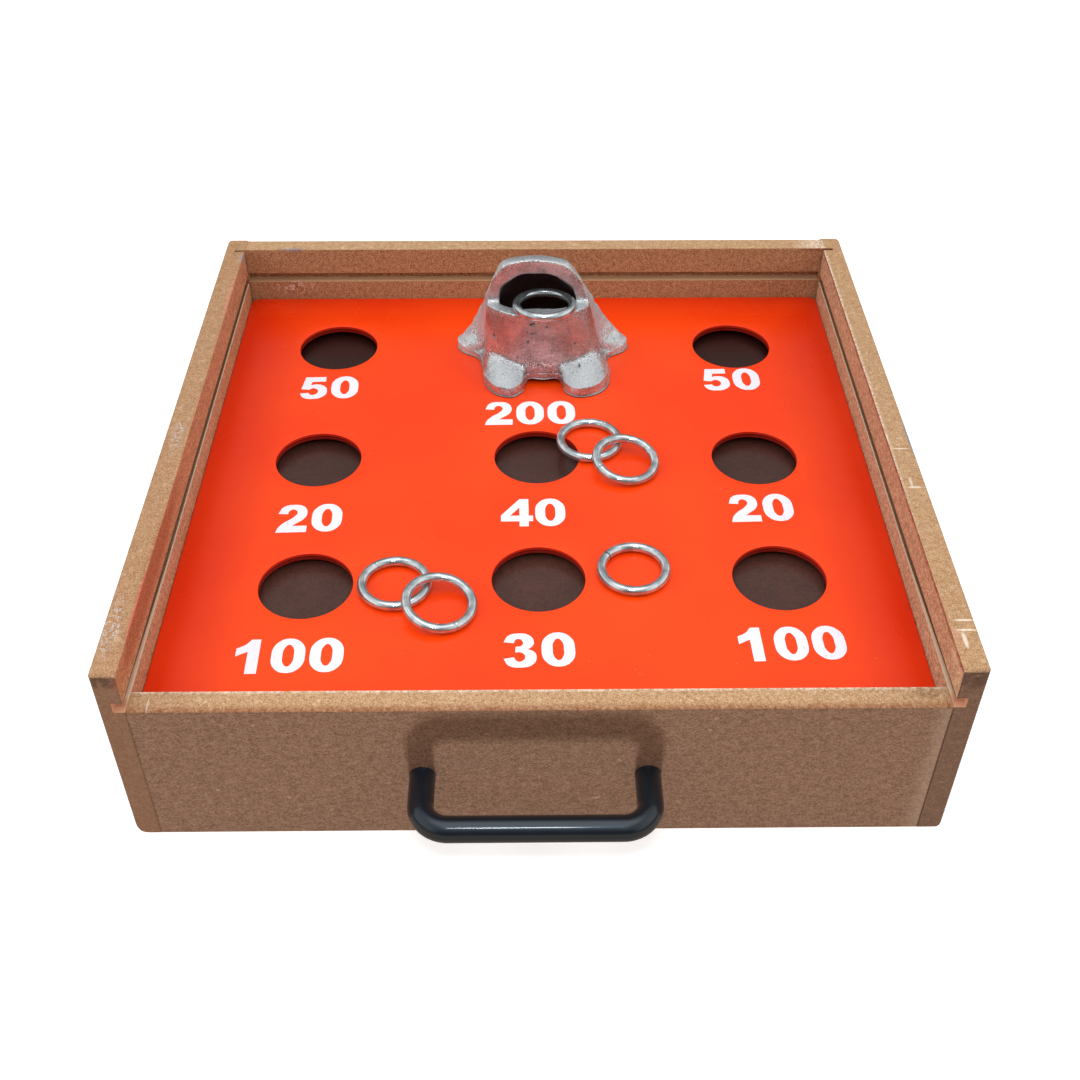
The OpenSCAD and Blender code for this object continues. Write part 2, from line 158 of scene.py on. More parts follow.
# one step of arithmetic on fields and numbers
def maths(operation, first, second=0.0):
    node = addNode(treeOf(first, second), "Math", {0: first, 1: second}, operation=operation)
    return Field(node.outputs[0])


# larger of two values
def most(first, second):
    return maths("MAXIMUM", first, second)


# one step of arithmetic on vectors
def vectorMaths(operation, vector, values, output="Vector"):
    node = addNode(vector.tree, "VectorMath", {0: vector, **values}, operation=operation)
    return Field(node.outputs[output])


# three parts of a vector
def parts(vector):
    return [Field(socket) for socket in addNode(vector.tree, "SeparateXYZ", {0: vector}).outputs]


# colour between two, by an amount
def blendColour(amount, first, second, mode="MIX"):
    values = {0: amount, 6: first, 7: second}
    return Field(addNode(treeOf(amount, first), "Mix", values, data_type="RGBA", blend_type=mode).outputs[2])


# colour multiplied by a tint
def tinted(colour, tint):
    return blendColour(1.0, colour, tint, "MULTIPLY")


# eases a value from 0 at low to 1 at high; low above high turns it round
def ease(value, low, high):
    values = {"Value": value, "From Min": low, "From Max": high, "To Min": 0.0, "To Max": 1.0}
    return Field(addNode(value.tree, "MapRange", values, interpolation_type="SMOOTHSTEP").outputs[0])


# the same between two distances past a face, in mm
def past(value, face, band):
    low, high = band
    return ease(value, face + low * mm, face + high * mm)


# layered noise, its scale in each metre
def noise(vector, scale, detail=2.0, roughness=0.5):
    values = {"Vector": vector, "Scale": scale, "Detail": detail, "Roughness": roughness}
    return Field(addNode(vector.tree, "TexNoise", values).outputs[0])


# pattern's place scaled along its axes and turned, in degrees
def stretched(vector, scale, turn=(0, 0, 0)):
    values = {"Vector": vector, "Scale": scale, "Rotation": tuple(np.radians(turn))}
    return Field(addNode(vector.tree, "Mapping", values).outputs[0])


# normal bent by the slope of a height
def bump(height, strength, distance):
    values = {"Height": height, "Strength": strength, "Distance": distance}
    return Field(addNode(height.tree, "Bump", values).outputs[0])


# mask that a mesh carries as an attribute
def meshMask(tree, name):
    return Field(addNode(tree, "Attribute", attribute_name=name).outputs["Fac"])


# material with one shader; gives the shader's node, and place and normal in the object's own coordinates
def newMaterial(name):
    material = bpy.data.materials.new(name)
    material.use_nodes = True
    tree = material.node_tree
    tree.nodes.clear()
    shader = addNode(tree, "BsdfPrincipled")
    addNode(tree, "OutputMaterial", {"Surface": Field(shader.outputs[0])})
    given = addNode(tree, "TexCoord").outputs
    return material, shader, Field(given["Object"]), Field(given["Normal"])


# shader group from its inputs' first values, None for a linked vector; gives the inputs and the end node
def newGroup(name, inputs, outputs):
    group = bpy.data.node_groups.new(name, "ShaderNodeTree")
    for key, value in inputs.items():
        kind = "NodeSocketFloat" if isinstance(value, float) else "NodeSocketVector"
        socket = group.interface.new_socket(key, in_out="INPUT", socket_type=kind)
        if value is not None:
            socket.default_value = value
    for key in outputs:
        group.interface.new_socket(key, in_out="OUTPUT", socket_type="NodeSocketFloat")
    start = group.nodes.new("NodeGroupInput")
    end = group.nodes.new("NodeGroupOutput")
    return group, {key: Field(start.outputs[key]) for key in inputs}, end


# group placed beside the field in its Vector, and its outputs by name
def useGroup(group, values):
    node = addNode(values["Vector"].tree, "Group", values, node_tree=group)
    return {socket.name: Field(socket) for socket in node.outputs}


# felted fibres: fine felt over a soft cloud, pale hairs lying three ways, dark specks, and their relief
fibreLay = {
    # stretch in each metre and turn in degrees of the hairs that lie each way
    "hairs": [((2100, 210, 210), (20, 35, 12)), ((210, 2300, 200), (-40, 15, 50)),
              ((220, 200, 2300), (25, -30, 70))],
    "hairEdge": 0.07, "hairRelief": 0.35,
    "feltShare": 0.75, "cloudShare": 0.25,
    "specks": 1300.0, "speckEdge": (0.35, 0.26),
}


# tone is felt and cloud in shares; hairs are peaks of stretched noise, specks the lows of a fine one
def makeFibreGroup(lay):
    inputs = {"Vector": None, "Cloud": 60.0, "Felt": 700.0, "Hairs": 0.67}
    group, given, end = newGroup("feltedFibres", inputs, ["Tone", "Hairs", "Specks", "Relief"])
    place, sparse = given["Vector"], given["Hairs"]
    felt = noise(place, given["Felt"], 3.0, 0.75)
    cloud = noise(place, given["Cloud"], 3.0, 0.55)
    hairs = 0.0
    for scale, turn in lay["hairs"]:
        strand = noise(stretched(place, scale, turn), 1.0, 1.0, 0.5)
        hairs = most(hairs, ease(strand, sparse, sparse + lay["hairEdge"]))
    specks = ease(noise(place, lay["specks"], 1.0, 0.5), *lay["speckEdge"])
    fill(end, {"Tone": felt * lay["feltShare"] + cloud * lay["cloudShare"], "Hairs": hairs, "Specks": specks,
               "Relief": felt + hairs * lay["hairRelief"] - specks})
    return group


# mark: a soft ellipsoid round a centre, broken by noise into patches or, with Lines at 1, into thin lines
markEdges = {"inside": (1.0, 0.45), "patch": 0.12, "line": (0.03, 0.01)}


# mask is the ellipsoid times patches over a limit, or times lines at the middle of the noise
def makeMarkGroup(edges):
    inputs = {"Vector": None, "Centre": (0, 0, 0), "Reach": (0.01, 0.01, 0.01), "Break": 300.0, "Cover": 0.5,
              "Lines": 0.0}
    group, given, end = newGroup("rubMark", inputs, ["Mask"])
    away = vectorMaths("SUBTRACT", given["Vector"], {1: given["Centre"]})
    share = vectorMaths("DIVIDE", away, {1: given["Reach"]})
    inside = ease(vectorMaths("LENGTH", share, {}, "Value"), *edges["inside"])
    patch = noise(given["Vector"], given["Break"], 3.0, 0.6)
    limit = 1.0 - given["Cover"]
    patches = ease(patch, limit - edges["patch"], limit + edges["patch"])
    lines = ease(abs(patch - 0.5), *edges["line"])
    broken = lines * given["Lines"] + patches * (1.0 - given["Lines"])
    fill(end, {"Mask": inside * broken})
    return group


# pits and grain of a sand casting or a worn finish: cells of which noise keeps a few, over a finer noise
pitShape = {"pit": (0.36, 0.12), "keepEdge": 0.06, "keepScale": 0.4, "grainScale": 2.6, "grainRelief": 0.5}


# pits are the middles of the kept cells, and relief is grain less pits
def makePitGroup(shape):
    inputs = {"Vector": None, "Scale": 500.0, "Amount": 0.3}
    group, given, end = newGroup("pitting", inputs, ["Pits", "Grain", "Relief"])
    place, scale, amount = given["Vector"], given["Scale"], given["Amount"]
    cells = Field(addNode(group, "TexVoronoi", {"Vector": place, "Scale": scale}).outputs["Distance"])
    chance = noise(place, scale * shape["keepScale"], 1.0, 0.5)
    keep = ease(chance, 1.0 - amount, 1.0 + shape["keepEdge"] - amount)
    pits = ease(cells, *shape["pit"]) * keep
    grain = noise(place, scale * shape["grainScale"], 3.0, 0.7)
    fill(end, {"Pits": pits, "Grain": grain, "Relief": grain * shape["grainRelief"] - pits})
    return group


# thin scratches that run two ways: noise stretched along each, of which the peaks stay
scuffLay = {"ways": [((25, 900, 900), (0, 0, 24)), ((40, 1300, 1300), (0, 20, -52))], "edge": 0.05}


# mask is the larger of the two ways' eased peaks
def makeScuffGroup(lay):
    group, given, end = newGroup("scuffs", {"Vector": None, "Fine": 1.0, "Amount": 0.35}, ["Mask"])
    scaled = vectorMaths("SCALE", given["Vector"], {"Scale": given["Fine"]})
    limit = 1.0 - given["Amount"]
    peaks = [noise(stretched(scaled, *way), 1.0, 1.0, 0.4) for way in lay["ways"]]
    fill(end, {"Mask": most(*(ease(peak, limit, limit + lay["edge"]) for peak in peaks))})
    return group


fibreGroup = makeFibreGroup(fibreLay)
markGroup = makeMarkGroup(markEdges)
pitGroup = makePitGroup(pitShape)
scuffGroup = makeScuffGroup(scuffLay)
print("shader groups built")


# colour as read on a screen, 0 to 255, to scene light
def linear(red, green, blue):
    share = np.array([red, green, blue]) / 255
    light = np.where(share <= 0.04045, share / 12.92, ((share + 0.055) / 1.055) ** 2.4)
    return (*light.tolist(), 1.0)


# the same grey in all three colours, in scene light
def grey(light):
    return (light, light, light, 1.0)


# bare fibreboard: brown pressed faces, tan cut edges, the wear that each place has, and painted light and
# shade on the inner faces, the sides' tops and the groove's floor
fibreboardFinish = {
    # felt's two tones, hairs and specks, spread of the tones, share of the hairs, and grain in each metre
    "face": {"dark": linear(90, 62, 46), "light": linear(132, 100, 81), "hair": linear(172, 136, 104),
             "speck": linear(64, 40, 27), "spread": 0.16, "hairShare": 0.45,
             "grain": {"Cloud": 240.0, "Felt": 1000.0, "Hairs": 0.73}},
    # painted light: the inner faces' tones are paler and more orange than the outer faces', for the board's
    # red light on them
    "inside": {"dark": linear(140, 100, 70), "light": linear(224, 184, 148), "hair": linear(236, 208, 182),
               "speck": linear(64, 40, 27), "spread": 0.17, "hairShare": 0.4,
               "grain": {"Cloud": 300.0, "Felt": 900.0, "Hairs": 0.70}},
    "cut": {"dark": linear(148, 104, 66), "light": linear(212, 176, 136), "hair": linear(230, 206, 176),
            "speck": linear(112, 72, 42), "spread": 0.17, "hairShare": 0.32,
            "grain": {"Cloud": 380.0, "Felt": 1100.0, "Hairs": 0.65}},
    "faceStretch": (0.72, 0.72, 1.2),
    "wear": 420.0, "wearEdge": (0.35, 0.65),
    "insideFrom": (0.01, -0.01), "cutFrom": (0.45, 0.75),   # how far a face looks outwards, and up or down
    # outer faces
    "leftEnd": linear(112, 76, 54), "rightEnd": linear(82, 58, 46), "endShare": 0.5,
    "scuffed": linear(168, 140, 120), "scuffShare": 0.22,
    "joint": linear(50, 34, 26), "jointShare": 0.45,   # twice as strong on the right
    # inner faces, with a painted shade tint for each wall
    "leftWallShade": (0.92, 0.75, 0.65, 1), "rightWallShade": grey(1.0), "backWallShade": (0.76, 0.69, 0.58, 1),
    "edgeRed": linear(136, 58, 40), "redLeast": 0.4, "redShare": 0.7,
    "grooveSide": linear(206, 150, 120), "grooveShare": 0.8,
    # cut edges: painted shade on the sides' tops, more on the left
    "leftTopShade": (0.85, 0.79, 0.77, 1), "rightTopShade": (0.93, 0.91, 0.88, 1),
    "frontArris": linear(138, 82, 50), "arrisLeast": 0.35, "arrisWear": 0.6,
    "pale": linear(238, 226, 208), "backShare": 0.75, "rimShare": 0.7,
    # groove's floor: painted light over a reach that narrows from front to back, then a painted shade line,
    # then its depth painted lighter than its shade; mm
    "groovePaintedLight": linear(224, 200, 170), "groovePaintedShade": linear(98, 74, 50),
    "grooveDeepPaintedLight": linear(216, 164, 130), "grooveBack": linear(190, 152, 116), "floorShare": 0.85,
    "litFrom": -205, "litTo": -110, "litWide": 2.3, "litNarrow": 0.5, "litFade": 0.6,
    "shadeLineWide": 1.8, "shadeLineFade": 0.8,
    "roughness": 0.72, "gloss": 0.25, "relief": 0.45, "reliefDepth": 0.2 * mm,
}
# where each finish starts and where it is full, in mm past a face
fibreboardBands = {
    # front's outer face, front's inner face, back's inner face, middle of the case
    "front": (2.5, 1.0), "frontArris": (6, 0.5),
    "frontTop": (16.5, 6.5), "backArris": (-2.7, -0.5), "grooveEnd": (-2.5, -9.5),
    "back": (-0.2, 0),
    "rightHalf": (-100, 100), "rightWall": (100, 200), "rimLength": (-160, 0),
    # sides' inner faces, along x and then outwards
    "leftTopShade": (3, -1), "rightTopShade": (-3, 1), "strip": (-12, -1.5), "besideRim": (-25, -5),
    "rimArris": (2.5, 0.5),
    "ends": (0, 0.4), "between": (0.2, -0.2), "joint": (0.7, 0.2), "inGroove": (3, 5),
    "pastSide": (-0.2, 0.1),
    # top of the sides, groove's roof, groove's floor
    "underRim": (-4, -1), "rim": (-5.5, -3.5),
    "underRoof": (1, 0),
    "onFloor": (1, 0.4),
}
markColours = {
    "rose": linear(232, 110, 112), "dullRose": linear(226, 120, 118), "paleRose": linear(232, 150, 140),
    "slate": linear(120, 140, 165), "blue": linear(96, 118, 150), "teal": linear(60, 132, 160),
    "ash": linear(214, 222, 230), "dust": linear(236, 228, 220), "paleDust": linear(232, 208, 190),
    "scribble": linear(225, 205, 190), "chalk": linear(238, 226, 206), "paleChalk": linear(238, 228, 212),
    "hole": linear(48, 34, 26), "grime": linear(52, 34, 26), "stain": linear(92, 70, 42),
    "rust": linear(150, 62, 30),
}
# rub marks: colour, centre and reach in mm, breaks in a metre, cover, lines or patches, strength
rubMarks = [
    ("rose", (-225.4, -178, 135.5), (1.0, 34, 4), 700, 0.58, 0, 0.5),
    ("dullRose", (-226, 150, 135.5), (3, 34, 4), 500, 0.5, 0, 0.4),
    ("slate", (-226, 205, 134), (2.5, 8, 4), 420, 0.6, 0, 0.5),
    ("blue", (-188, 217.5, 135), (14, 1.6, 3), 420, 0.6, 0, 0.6),
    ("scribble", (-190, 216, 102), (22, 4, 8), 150, 0.5, 1, 0.7),
    ("ash", (-235, -194, 136), (6, 30, 3), 240, 0.5, 1, 0.55),
    ("ash", (-232, -22, 136), (5, 24, 3), 240, 0.5, 1, 0.45),
    ("dust", (-232, 30, 136), (9, 190, 3), 900, 0.36, 0, 0.22),
    ("chalk", (234.3, -192.6, 135.5), (7.5, 1.1, 3), 300, 0.85, 0, 0.75),
    ("chalk", (233.5, -200.2, 135.5), (8, 1.0, 3), 300, 0.85, 0, 0.75),
    ("chalk", (231, -208, 135.5), (1.6, 8, 3), 300, 0.8, 0, 0.7),
    ("paleRose", (228, -205, 135.5), (3, 10, 3), 700, 0.45, 0, 0.5),
    ("dust", (232, 40, 136), (9, 190, 3), 900, 0.36, 0, 0.25),
    ("teal", (239.4, -26, 134.6), (1.7, 26, 1.6), 300, 0.72, 0, 0.8),
    ("chalk", (231.5, -38.2, 135.5), (7, 0.9, 3), 300, 0.8, 0, 0.6),
    ("chalk", (232.5, -77, 135.5), (6, 1.4, 3), 300, 0.75, 0, 0.6),
    ("chalk", (231, -72, 135.5), (1.2, 6, 3), 300, 0.75, 0, 0.5),
    ("hole", (225, -124, 112.5), (3, 1.6, 2.2), 300, 0.9, 0, 0.9),
    ("paleChalk", (-214, -226, 107.5), (0.8, 7, 3), 400, 0.75, 0, 0.4),
    ("grime", (233, -231.5, 130), (13, 4, 9), 300, 0.62, 0, 0.5),
    ("grime", (-233, -231.5, 131), (11, 4, 6), 300, 0.6, 0, 0.6),
    ("stain", (214, -221, 107.5), (11, 5, 3), 500, 0.55, 0, 0.4),
    ("rust", (-225, -150, 128), (4, 120, 12), 300, 0.62, 0, 0.55),
    ("paleDust", (-225, -60, 103), (4, 190, 9), 1300, 0.42, 0, 0.5),
    ("paleDust", (225, -60, 103), (4, 190, 9), 1300, 0.38, 0, 0.4),
]


# two tones mixed by the felt, then hairs and specks laid over
def fibreColour(fibre, tones, speckShare=0.6):
    felt = ease(fibre["Tone"], 0.5 - tones["spread"], 0.5 + tones["spread"])
    colour = blendColour(felt, tones["dark"], tones["light"])
    colour = blendColour(fibre["Hairs"] * tones["hairShare"], colour, tones["hair"])
    return blendColour(fibre["Specks"] * speckShare, colour, tones["speck"])


# outer faces: on the front, the sides' own ends are tinted, a strip by the right joint is scuffed, and the
# joints are dark
def outerFace(colour, at, finish, bands):
    x, depth = at["x"], at["depth"]
    onFront = past(at["y"], frontFace, bands["front"])
    onRight = past(x, 0, bands["rightHalf"])
    ends = onFront * past(depth, 0, bands["ends"]) * finish["endShare"]
    colour = blendColour(ends, colour, blendColour(onRight, finish["leftEnd"], finish["rightEnd"]))
    strip = onFront * past(x, innerFace, bands["strip"]) * past(depth, 0, bands["between"])
    colour = blendColour(strip * finish["scuffShare"], colour, finish["scuffed"])
    joint = onFront * past(abs(depth), 0, bands["joint"])
    share = onRight * finish["jointShare"] + finish["jointShare"]
    return blendColour(joint * share, colour, finish["joint"])


# inner faces: painted shade, as a tint for each wall, a red edge under the right one's rim, and the groove's
# side
def insideFace(colour, at, finish, bands):
    x, z = at["x"], at["z"]
    # painted shade: each wall darkened by its own tint
    tint = blendColour(past(x, 0, bands["rightWall"]), finish["leftWallShade"], finish["rightWallShade"])
    colour = tinted(colour, blendColour(at["onBack"], tint, finish["backWallShade"]))
    underRim = past(z, rimTop, bands["underRim"]) * past(x, innerFace, bands["besideRim"])
    red = underRim * (at["wear"] + finish["redLeast"]) * finish["redShare"]
    colour = blendColour(red, colour, finish["edgeRed"])
    inGroove = past(at["depth"], 0, bands["inGroove"]) * past(z, grooveRoof, bands["underRoof"])
    return blendColour(inGroove * finish["grooveShare"], colour, finish["grooveSide"])


# groove's floor: painted light up to a reach that narrows towards the back, then a painted shade line, then
# the deep side painted lighter than its shade
def grooveColour(at, finish, bands):
    y, depth = at["y"], at["depth"]
    values = {"Value": y, "From Min": finish["litFrom"] * mm, "From Max": finish["litTo"] * mm,
              "To Min": finish["litWide"] * mm, "To Max": finish["litNarrow"] * mm}
    reach = Field(addNode(y.tree, "MapRange", values).outputs[0])
    lit = ease(depth, reach + finish["litFade"] * mm, reach)
    # painted shade: a dark line past the painted lit reach, then the deep side painted lighter
    line = reach + finish["shadeLineWide"] * mm
    deep = ease(depth, line, line + finish["shadeLineFade"] * mm)
    colour = blendColour(deep, finish["groovePaintedShade"], finish["grooveDeepPaintedLight"])
    colour = blendColour(lit, colour, finish["groovePaintedLight"])
    colour = blendColour(at["onBack"], colour, finish["grooveBack"])
    return blendColour(past(y, frontInside, bands["grooveEnd"]), colour, finish["grooveSide"])


# cut edges: painted shade on the tops of the sides, more on the left, a worn front edge and a pale back one
# on the front's top, a pale inner edge on the right side's top, and the groove's floor with its painted light
# and shade
def cutEdges(colour, at, finish, bands):
    x, y, z, depth, wear = (at[key] for key in ("x", "y", "z", "depth", "wear"))
    # painted shade: the sides' tops darkened, the left more than the right
    tint = blendColour(past(x, -innerFace, bands["leftTopShade"]), grey(1.0), finish["leftTopShade"])
    colour = tinted(colour, blendColour(past(x, innerFace, bands["rightTopShade"]), tint, finish["rightTopShade"]))
    onFront = past(depth, 0, bands["between"]) * past(y, frontInside, bands["frontTop"])
    frontEdge = onFront * past(y, frontFace, bands["frontArris"])
    frontEdge = frontEdge * (wear * finish["arrisWear"] + finish["arrisLeast"])
    backEdge = onFront * past(y, frontInside, bands["backArris"]) * wear * finish["backShare"]
    rimEdge = past(x, innerFace, bands["rimArris"]) * past(x, innerFace, bands["besideRim"])
    rimEdge = rimEdge * past(y, 0, bands["rimLength"]) * past(z, rimTop, bands["rim"])
    rimEdge = rimEdge * wear * finish["rimShare"]
    colour = blendColour(frontEdge, colour, finish["frontArris"])
    colour = blendColour(most(backEdge, rimEdge), colour, finish["pale"])
    pastWall = most(past(depth, 0, bands["pastSide"]), at["onBack"])
    onFloor = pastWall * past(abs(z - grooveFloor), 0, bands["onFloor"]) * finish["floorShare"]
    return blendColour(onFloor, colour, grooveColour(at, finish, bands))


# a face that looks against its own place is inside the case, and one that looks up or down is a cut edge
def makeFibreboard(finish, bands, marks):
    material, shader, place, normal = newMaterial("fibreboard")
    x, y, z = parts(place)
    toX, toY, toZ = parts(normal)
    at = {"x": x, "y": y, "z": z, "depth": abs(x) - innerFace, "onBack": past(y, backFace, bands["back"]),
          "wear": ease(noise(place, finish["wear"], 3.0, 0.65), *finish["wearEdge"])}
    lying = stretched(place, finish["faceStretch"])
    face = useGroup(fibreGroup, {"Vector": lying, **finish["face"]["grain"]})
    felt = useGroup(fibreGroup, {"Vector": place, **finish["inside"]["grain"]})
    cut = useGroup(fibreGroup, {"Vector": place, **finish["cut"]["grain"]})
    outer = outerFace(fibreColour(face, finish["face"]), at, finish, bands)
    # painted light: inner faces take the paler, more orange tones
    inner = insideFace(fibreColour(felt, finish["inside"]), at, finish, bands)
    edges = cutEdges(fibreColour(cut, finish["cut"]), at, finish, bands)
    isInside = ease(x * toX + y * toY, *finish["insideFrom"])
    isCut = ease(abs(toZ), *finish["cutFrom"])
    colour = blendColour(isCut, blendColour(isInside, outer, inner), edges)
    for tone, centre, reach, breaks, cover, lines, strength in marks:
        values = {"Vector": place, "Break": breaks, "Cover": cover, "Lines": lines,
                  "Centre": tuple(mm * c for c in centre), "Reach": tuple(mm * r for r in reach)}
        colour = blendColour(useGroup(markGroup, values)["Mask"] * strength, colour, markColours[tone])
    relief = face["Relief"] + cut["Relief"] * isCut
    fill(shader, {"Base Color": colour, "Roughness": finish["roughness"],
                  "Specular IOR Level": finish["gloss"],
                  "Normal": bump(relief, finish["relief"], finish["reliefDepth"])})
    return material


# red paint: satin, faintly orange-peeled, a few specks; in the holes' edges a dark line parts two bands
redPaint = {
    "deep": linear(245, 60, 3), "bright": linear(251, 69, 6),
    "speck": linear(255, 150, 120), "speckShare": 0.4,
    "upperBand": linear(206, 36, 10), "lowerBand": linear(150, 24, 8), "line": linear(60, 14, 8),
    "lineHeight": 89.6 * mm, "bandEdge": (-0.2, 0.2), "lineEdge": (0.5, 0.2),
    # painted shade: the red darkens towards the side walls and the back wall, where they shade the board
    "wallShadeTint": (0.76, 0.48, 0.3, 1), "sideShade": (172, 226), "backShade": (165, 222), "backShare": 0.7,
    "cloud": 9.0, "cloudFrom": (0.3, 0.7), "dust": {"Scale": 420.0, "Amount": 0.27},
    "holeFrom": (0.7, 0.3), "peel": 420.0, "peelRelief": 0.06, "peelDepth": 0.2 * mm,
    "roughness": 0.23, "cloudRough": 0.1, "gloss": 0.40,
}


# two reds by a soft cloud, then specks, painted shade by the walls, and bands on upright edges
def makeRedPaint(finish):
    material, shader, place, normal = newMaterial("redPaint")
    x, y, z = parts(place)
    cloud = noise(place, finish["cloud"], 3.0, 0.5)
    dust = useGroup(pitGroup, {"Vector": place, **finish["dust"]})
    colour = blendColour(ease(cloud, *finish["cloudFrom"]), finish["deep"], finish["bright"])
    colour = blendColour(dust["Pits"] * finish["speckShare"], colour, finish["speck"])
    # painted shade: darker red near the walls
    shadeByWall = most(past(abs(x), 0, finish["sideShade"]), past(y, 0, finish["backShade"]) * finish["backShare"])
    colour = blendColour(shadeByWall, colour, tinted(colour, finish["wallShadeTint"]))
    above = z - finish["lineHeight"]
    band = blendColour(past(above, 0, finish["bandEdge"]), finish["lowerBand"], finish["upperBand"])
    band = blendColour(past(abs(above), 0, finish["lineEdge"]), band, finish["line"])
    inHole = ease(abs(parts(normal)[2]), *finish["holeFrom"])
    colour = blendColour(inHole, colour, band)
    peel = bump(noise(place, finish["peel"], 2.0, 0.5), finish["peelRelief"], finish["peelDepth"])
    fill(shader, {"Base Color": colour, "Roughness": cloud * finish["cloudRough"] + finish["roughness"],
                  "Specular IOR Level": finish["gloss"], "Normal": peel})
    return material


# backing sheet: hardboard with its screen-pressed side up; paler towards the front by a painted sheen, darker
# towards the back by painted shade
hardboardFinish = {
    "dark": linear(56, 32, 25), "light": linear(84, 50, 41),
    # painted shade: the darker tones towards the back
    "shadedDark": linear(30, 10, 8), "shadedLight": linear(46, 19, 15), "shadedFrom": (-60, 140),
    "grain": {"Cloud": 60.0, "Felt": 500.0, "Hairs": 0.7}, "fibreShare": 0.85,
    "weave": 1150 / 6.283,   # threads in each metre, in the texture's own scale
    "uneven": 0.6, "weaveShare": 0.15, "weaveRelief": 0.08, "weaveDepth": 0.2 * mm, "toneFrom": (0.25, 0.65),
    "roughness": 0.3, "gloss": 0.5,
}


# weave: the product of waves both ways
def makeHardboard(finish):
    material, shader, place, _ = newMaterial("hardboard")
    fibre = useGroup(fibreGroup, {"Vector": place, **finish["grain"]})
    values = {"Vector": place, "Scale": finish["weave"], "Distortion": finish["uneven"], "Detail": 1.0}
    acrossWay, alongWay = (Field(addNode(place.tree, "TexWave", values, bands_direction=way).outputs["Fac"])
                           for way in ("X", "Y"))
    weave = acrossWay * alongWay
    # painted light: a painted sheen paler to the front, painted shade darker to the back
    shadedBack = past(parts(place)[1], 0, finish["shadedFrom"])
    dark = blendColour(shadedBack, finish["dark"], finish["shadedDark"])
    light = blendColour(shadedBack, finish["light"], finish["shadedLight"])
    tone = fibre["Tone"] * finish["fibreShare"] + weave * finish["weaveShare"]
    fill(shader, {"Base Color": blendColour(ease(tone, *finish["toneFrom"]), dark, light),
                  "Roughness": finish["roughness"], "Specular IOR Level": finish["gloss"],
                  "Normal": bump(weave, finish["weaveRelief"], finish["weaveDepth"])})
    return material


# bare softwood for the hidden strips and ledges: long grain with a little felt
softwoodFinish = {
    "pale": linear(214, 178, 130), "dark": linear(170, 122, 76), "roughness": 0.65,
    "stretch": (160, 160, 260), "turn": (0, 0, 3), "grainShare": 0.7, "fibreShare": 0.3,
    "grain": {"Cloud": 30.0, "Felt": 600.0, "Hairs": 0.68},
    "toneFrom": (0.3, 0.7), "relief": 0.3, "reliefDepth": 0.2 * mm,
}


# two tones by grain and felt in shares
def makeSoftwood(finish):
    material, shader, place, _ = newMaterial("softwood")
    grain = noise(stretched(place, finish["stretch"], finish["turn"]), 1.0, 3.0, 0.55)
    fibre = useGroup(fibreGroup, {"Vector": place, **finish["grain"]})
    tone = grain * finish["grainShare"] + fibre["Tone"] * finish["fibreShare"]
    fill(shader, {"Base Color": blendColour(ease(tone, *finish["toneFrom"]), finish["dark"], finish["pale"]),
                  "Roughness": finish["roughness"],
                  "Normal": bump(fibre["Relief"], finish["relief"], finish["reliefDepth"])})
    return material


# cast aluminium: walls with a sandy skin, paler filed flats, pale grains where the skin slopes, partly sand
# and partly painted glints, dark pits; the mesh's own masks mark its deep pits, gritty edges, the hollow and
# creases with their painted shade, and the haunches with their painted light
castFinish = {
    "bright": linear(206, 208, 210), "dull": linear(168, 171, 174), "filed": linear(192, 197, 200),
    # flank: painted light, a bluish grey that cancels the board's red light on the haunches
    "flank": linear(188, 202, 206), "grain": linear(240, 240, 240), "dark": linear(70, 66, 66),
    # cave: painted shade inside the hollow, dark and reddish for the board's red light there
    "pit": linear(34, 30, 30), "cave": linear(52, 38, 37),
    "skin": {"Scale": 900.0, "Amount": 0.42}, "coarse": {"Scale": 420.0, "Amount": 0.34},
    "cloud": 60.0, "cloudFrom": (0.35, 0.65), "sand": 1000.0,
    "filedFrom": (0.72, 0.9), "slopeFrom": (0.03, 0.4),   # how far the skin looks up
    "grainFrom": (136, 110),                   # heights in mm between which the pale grains thicken downwards
    "contactShadeFrom": (92.9, 92.5),                  # painted contact shadow: a dark line at the base
    "grainLeast": 0.1, "grainShare": 0.8, "grainFiled": 0.7, "grainEdge": 0.59,
    "grainGrit": 0.07, "grainFade": 0.06,
    "darkEdge": (0.42, 0.34), "darkShare": 0.35, "darkGrit": 0.6,
    # creaseShare sets the painted shade in the creases
    "flankShare": 0.7, "pitShare": 0.6, "creaseShare": 0.6,
    "roughness": 0.21, "grainRough": 0.16, "filedRough": 0.2,
    "bare": 0.9, "dullLoss": 0.75, "paleDull": 0.9, "flankDull": 0.6,
    "coarseRelief": 0.3, "relief": 0.6, "reliefDepth": 0.4 * mm,
}


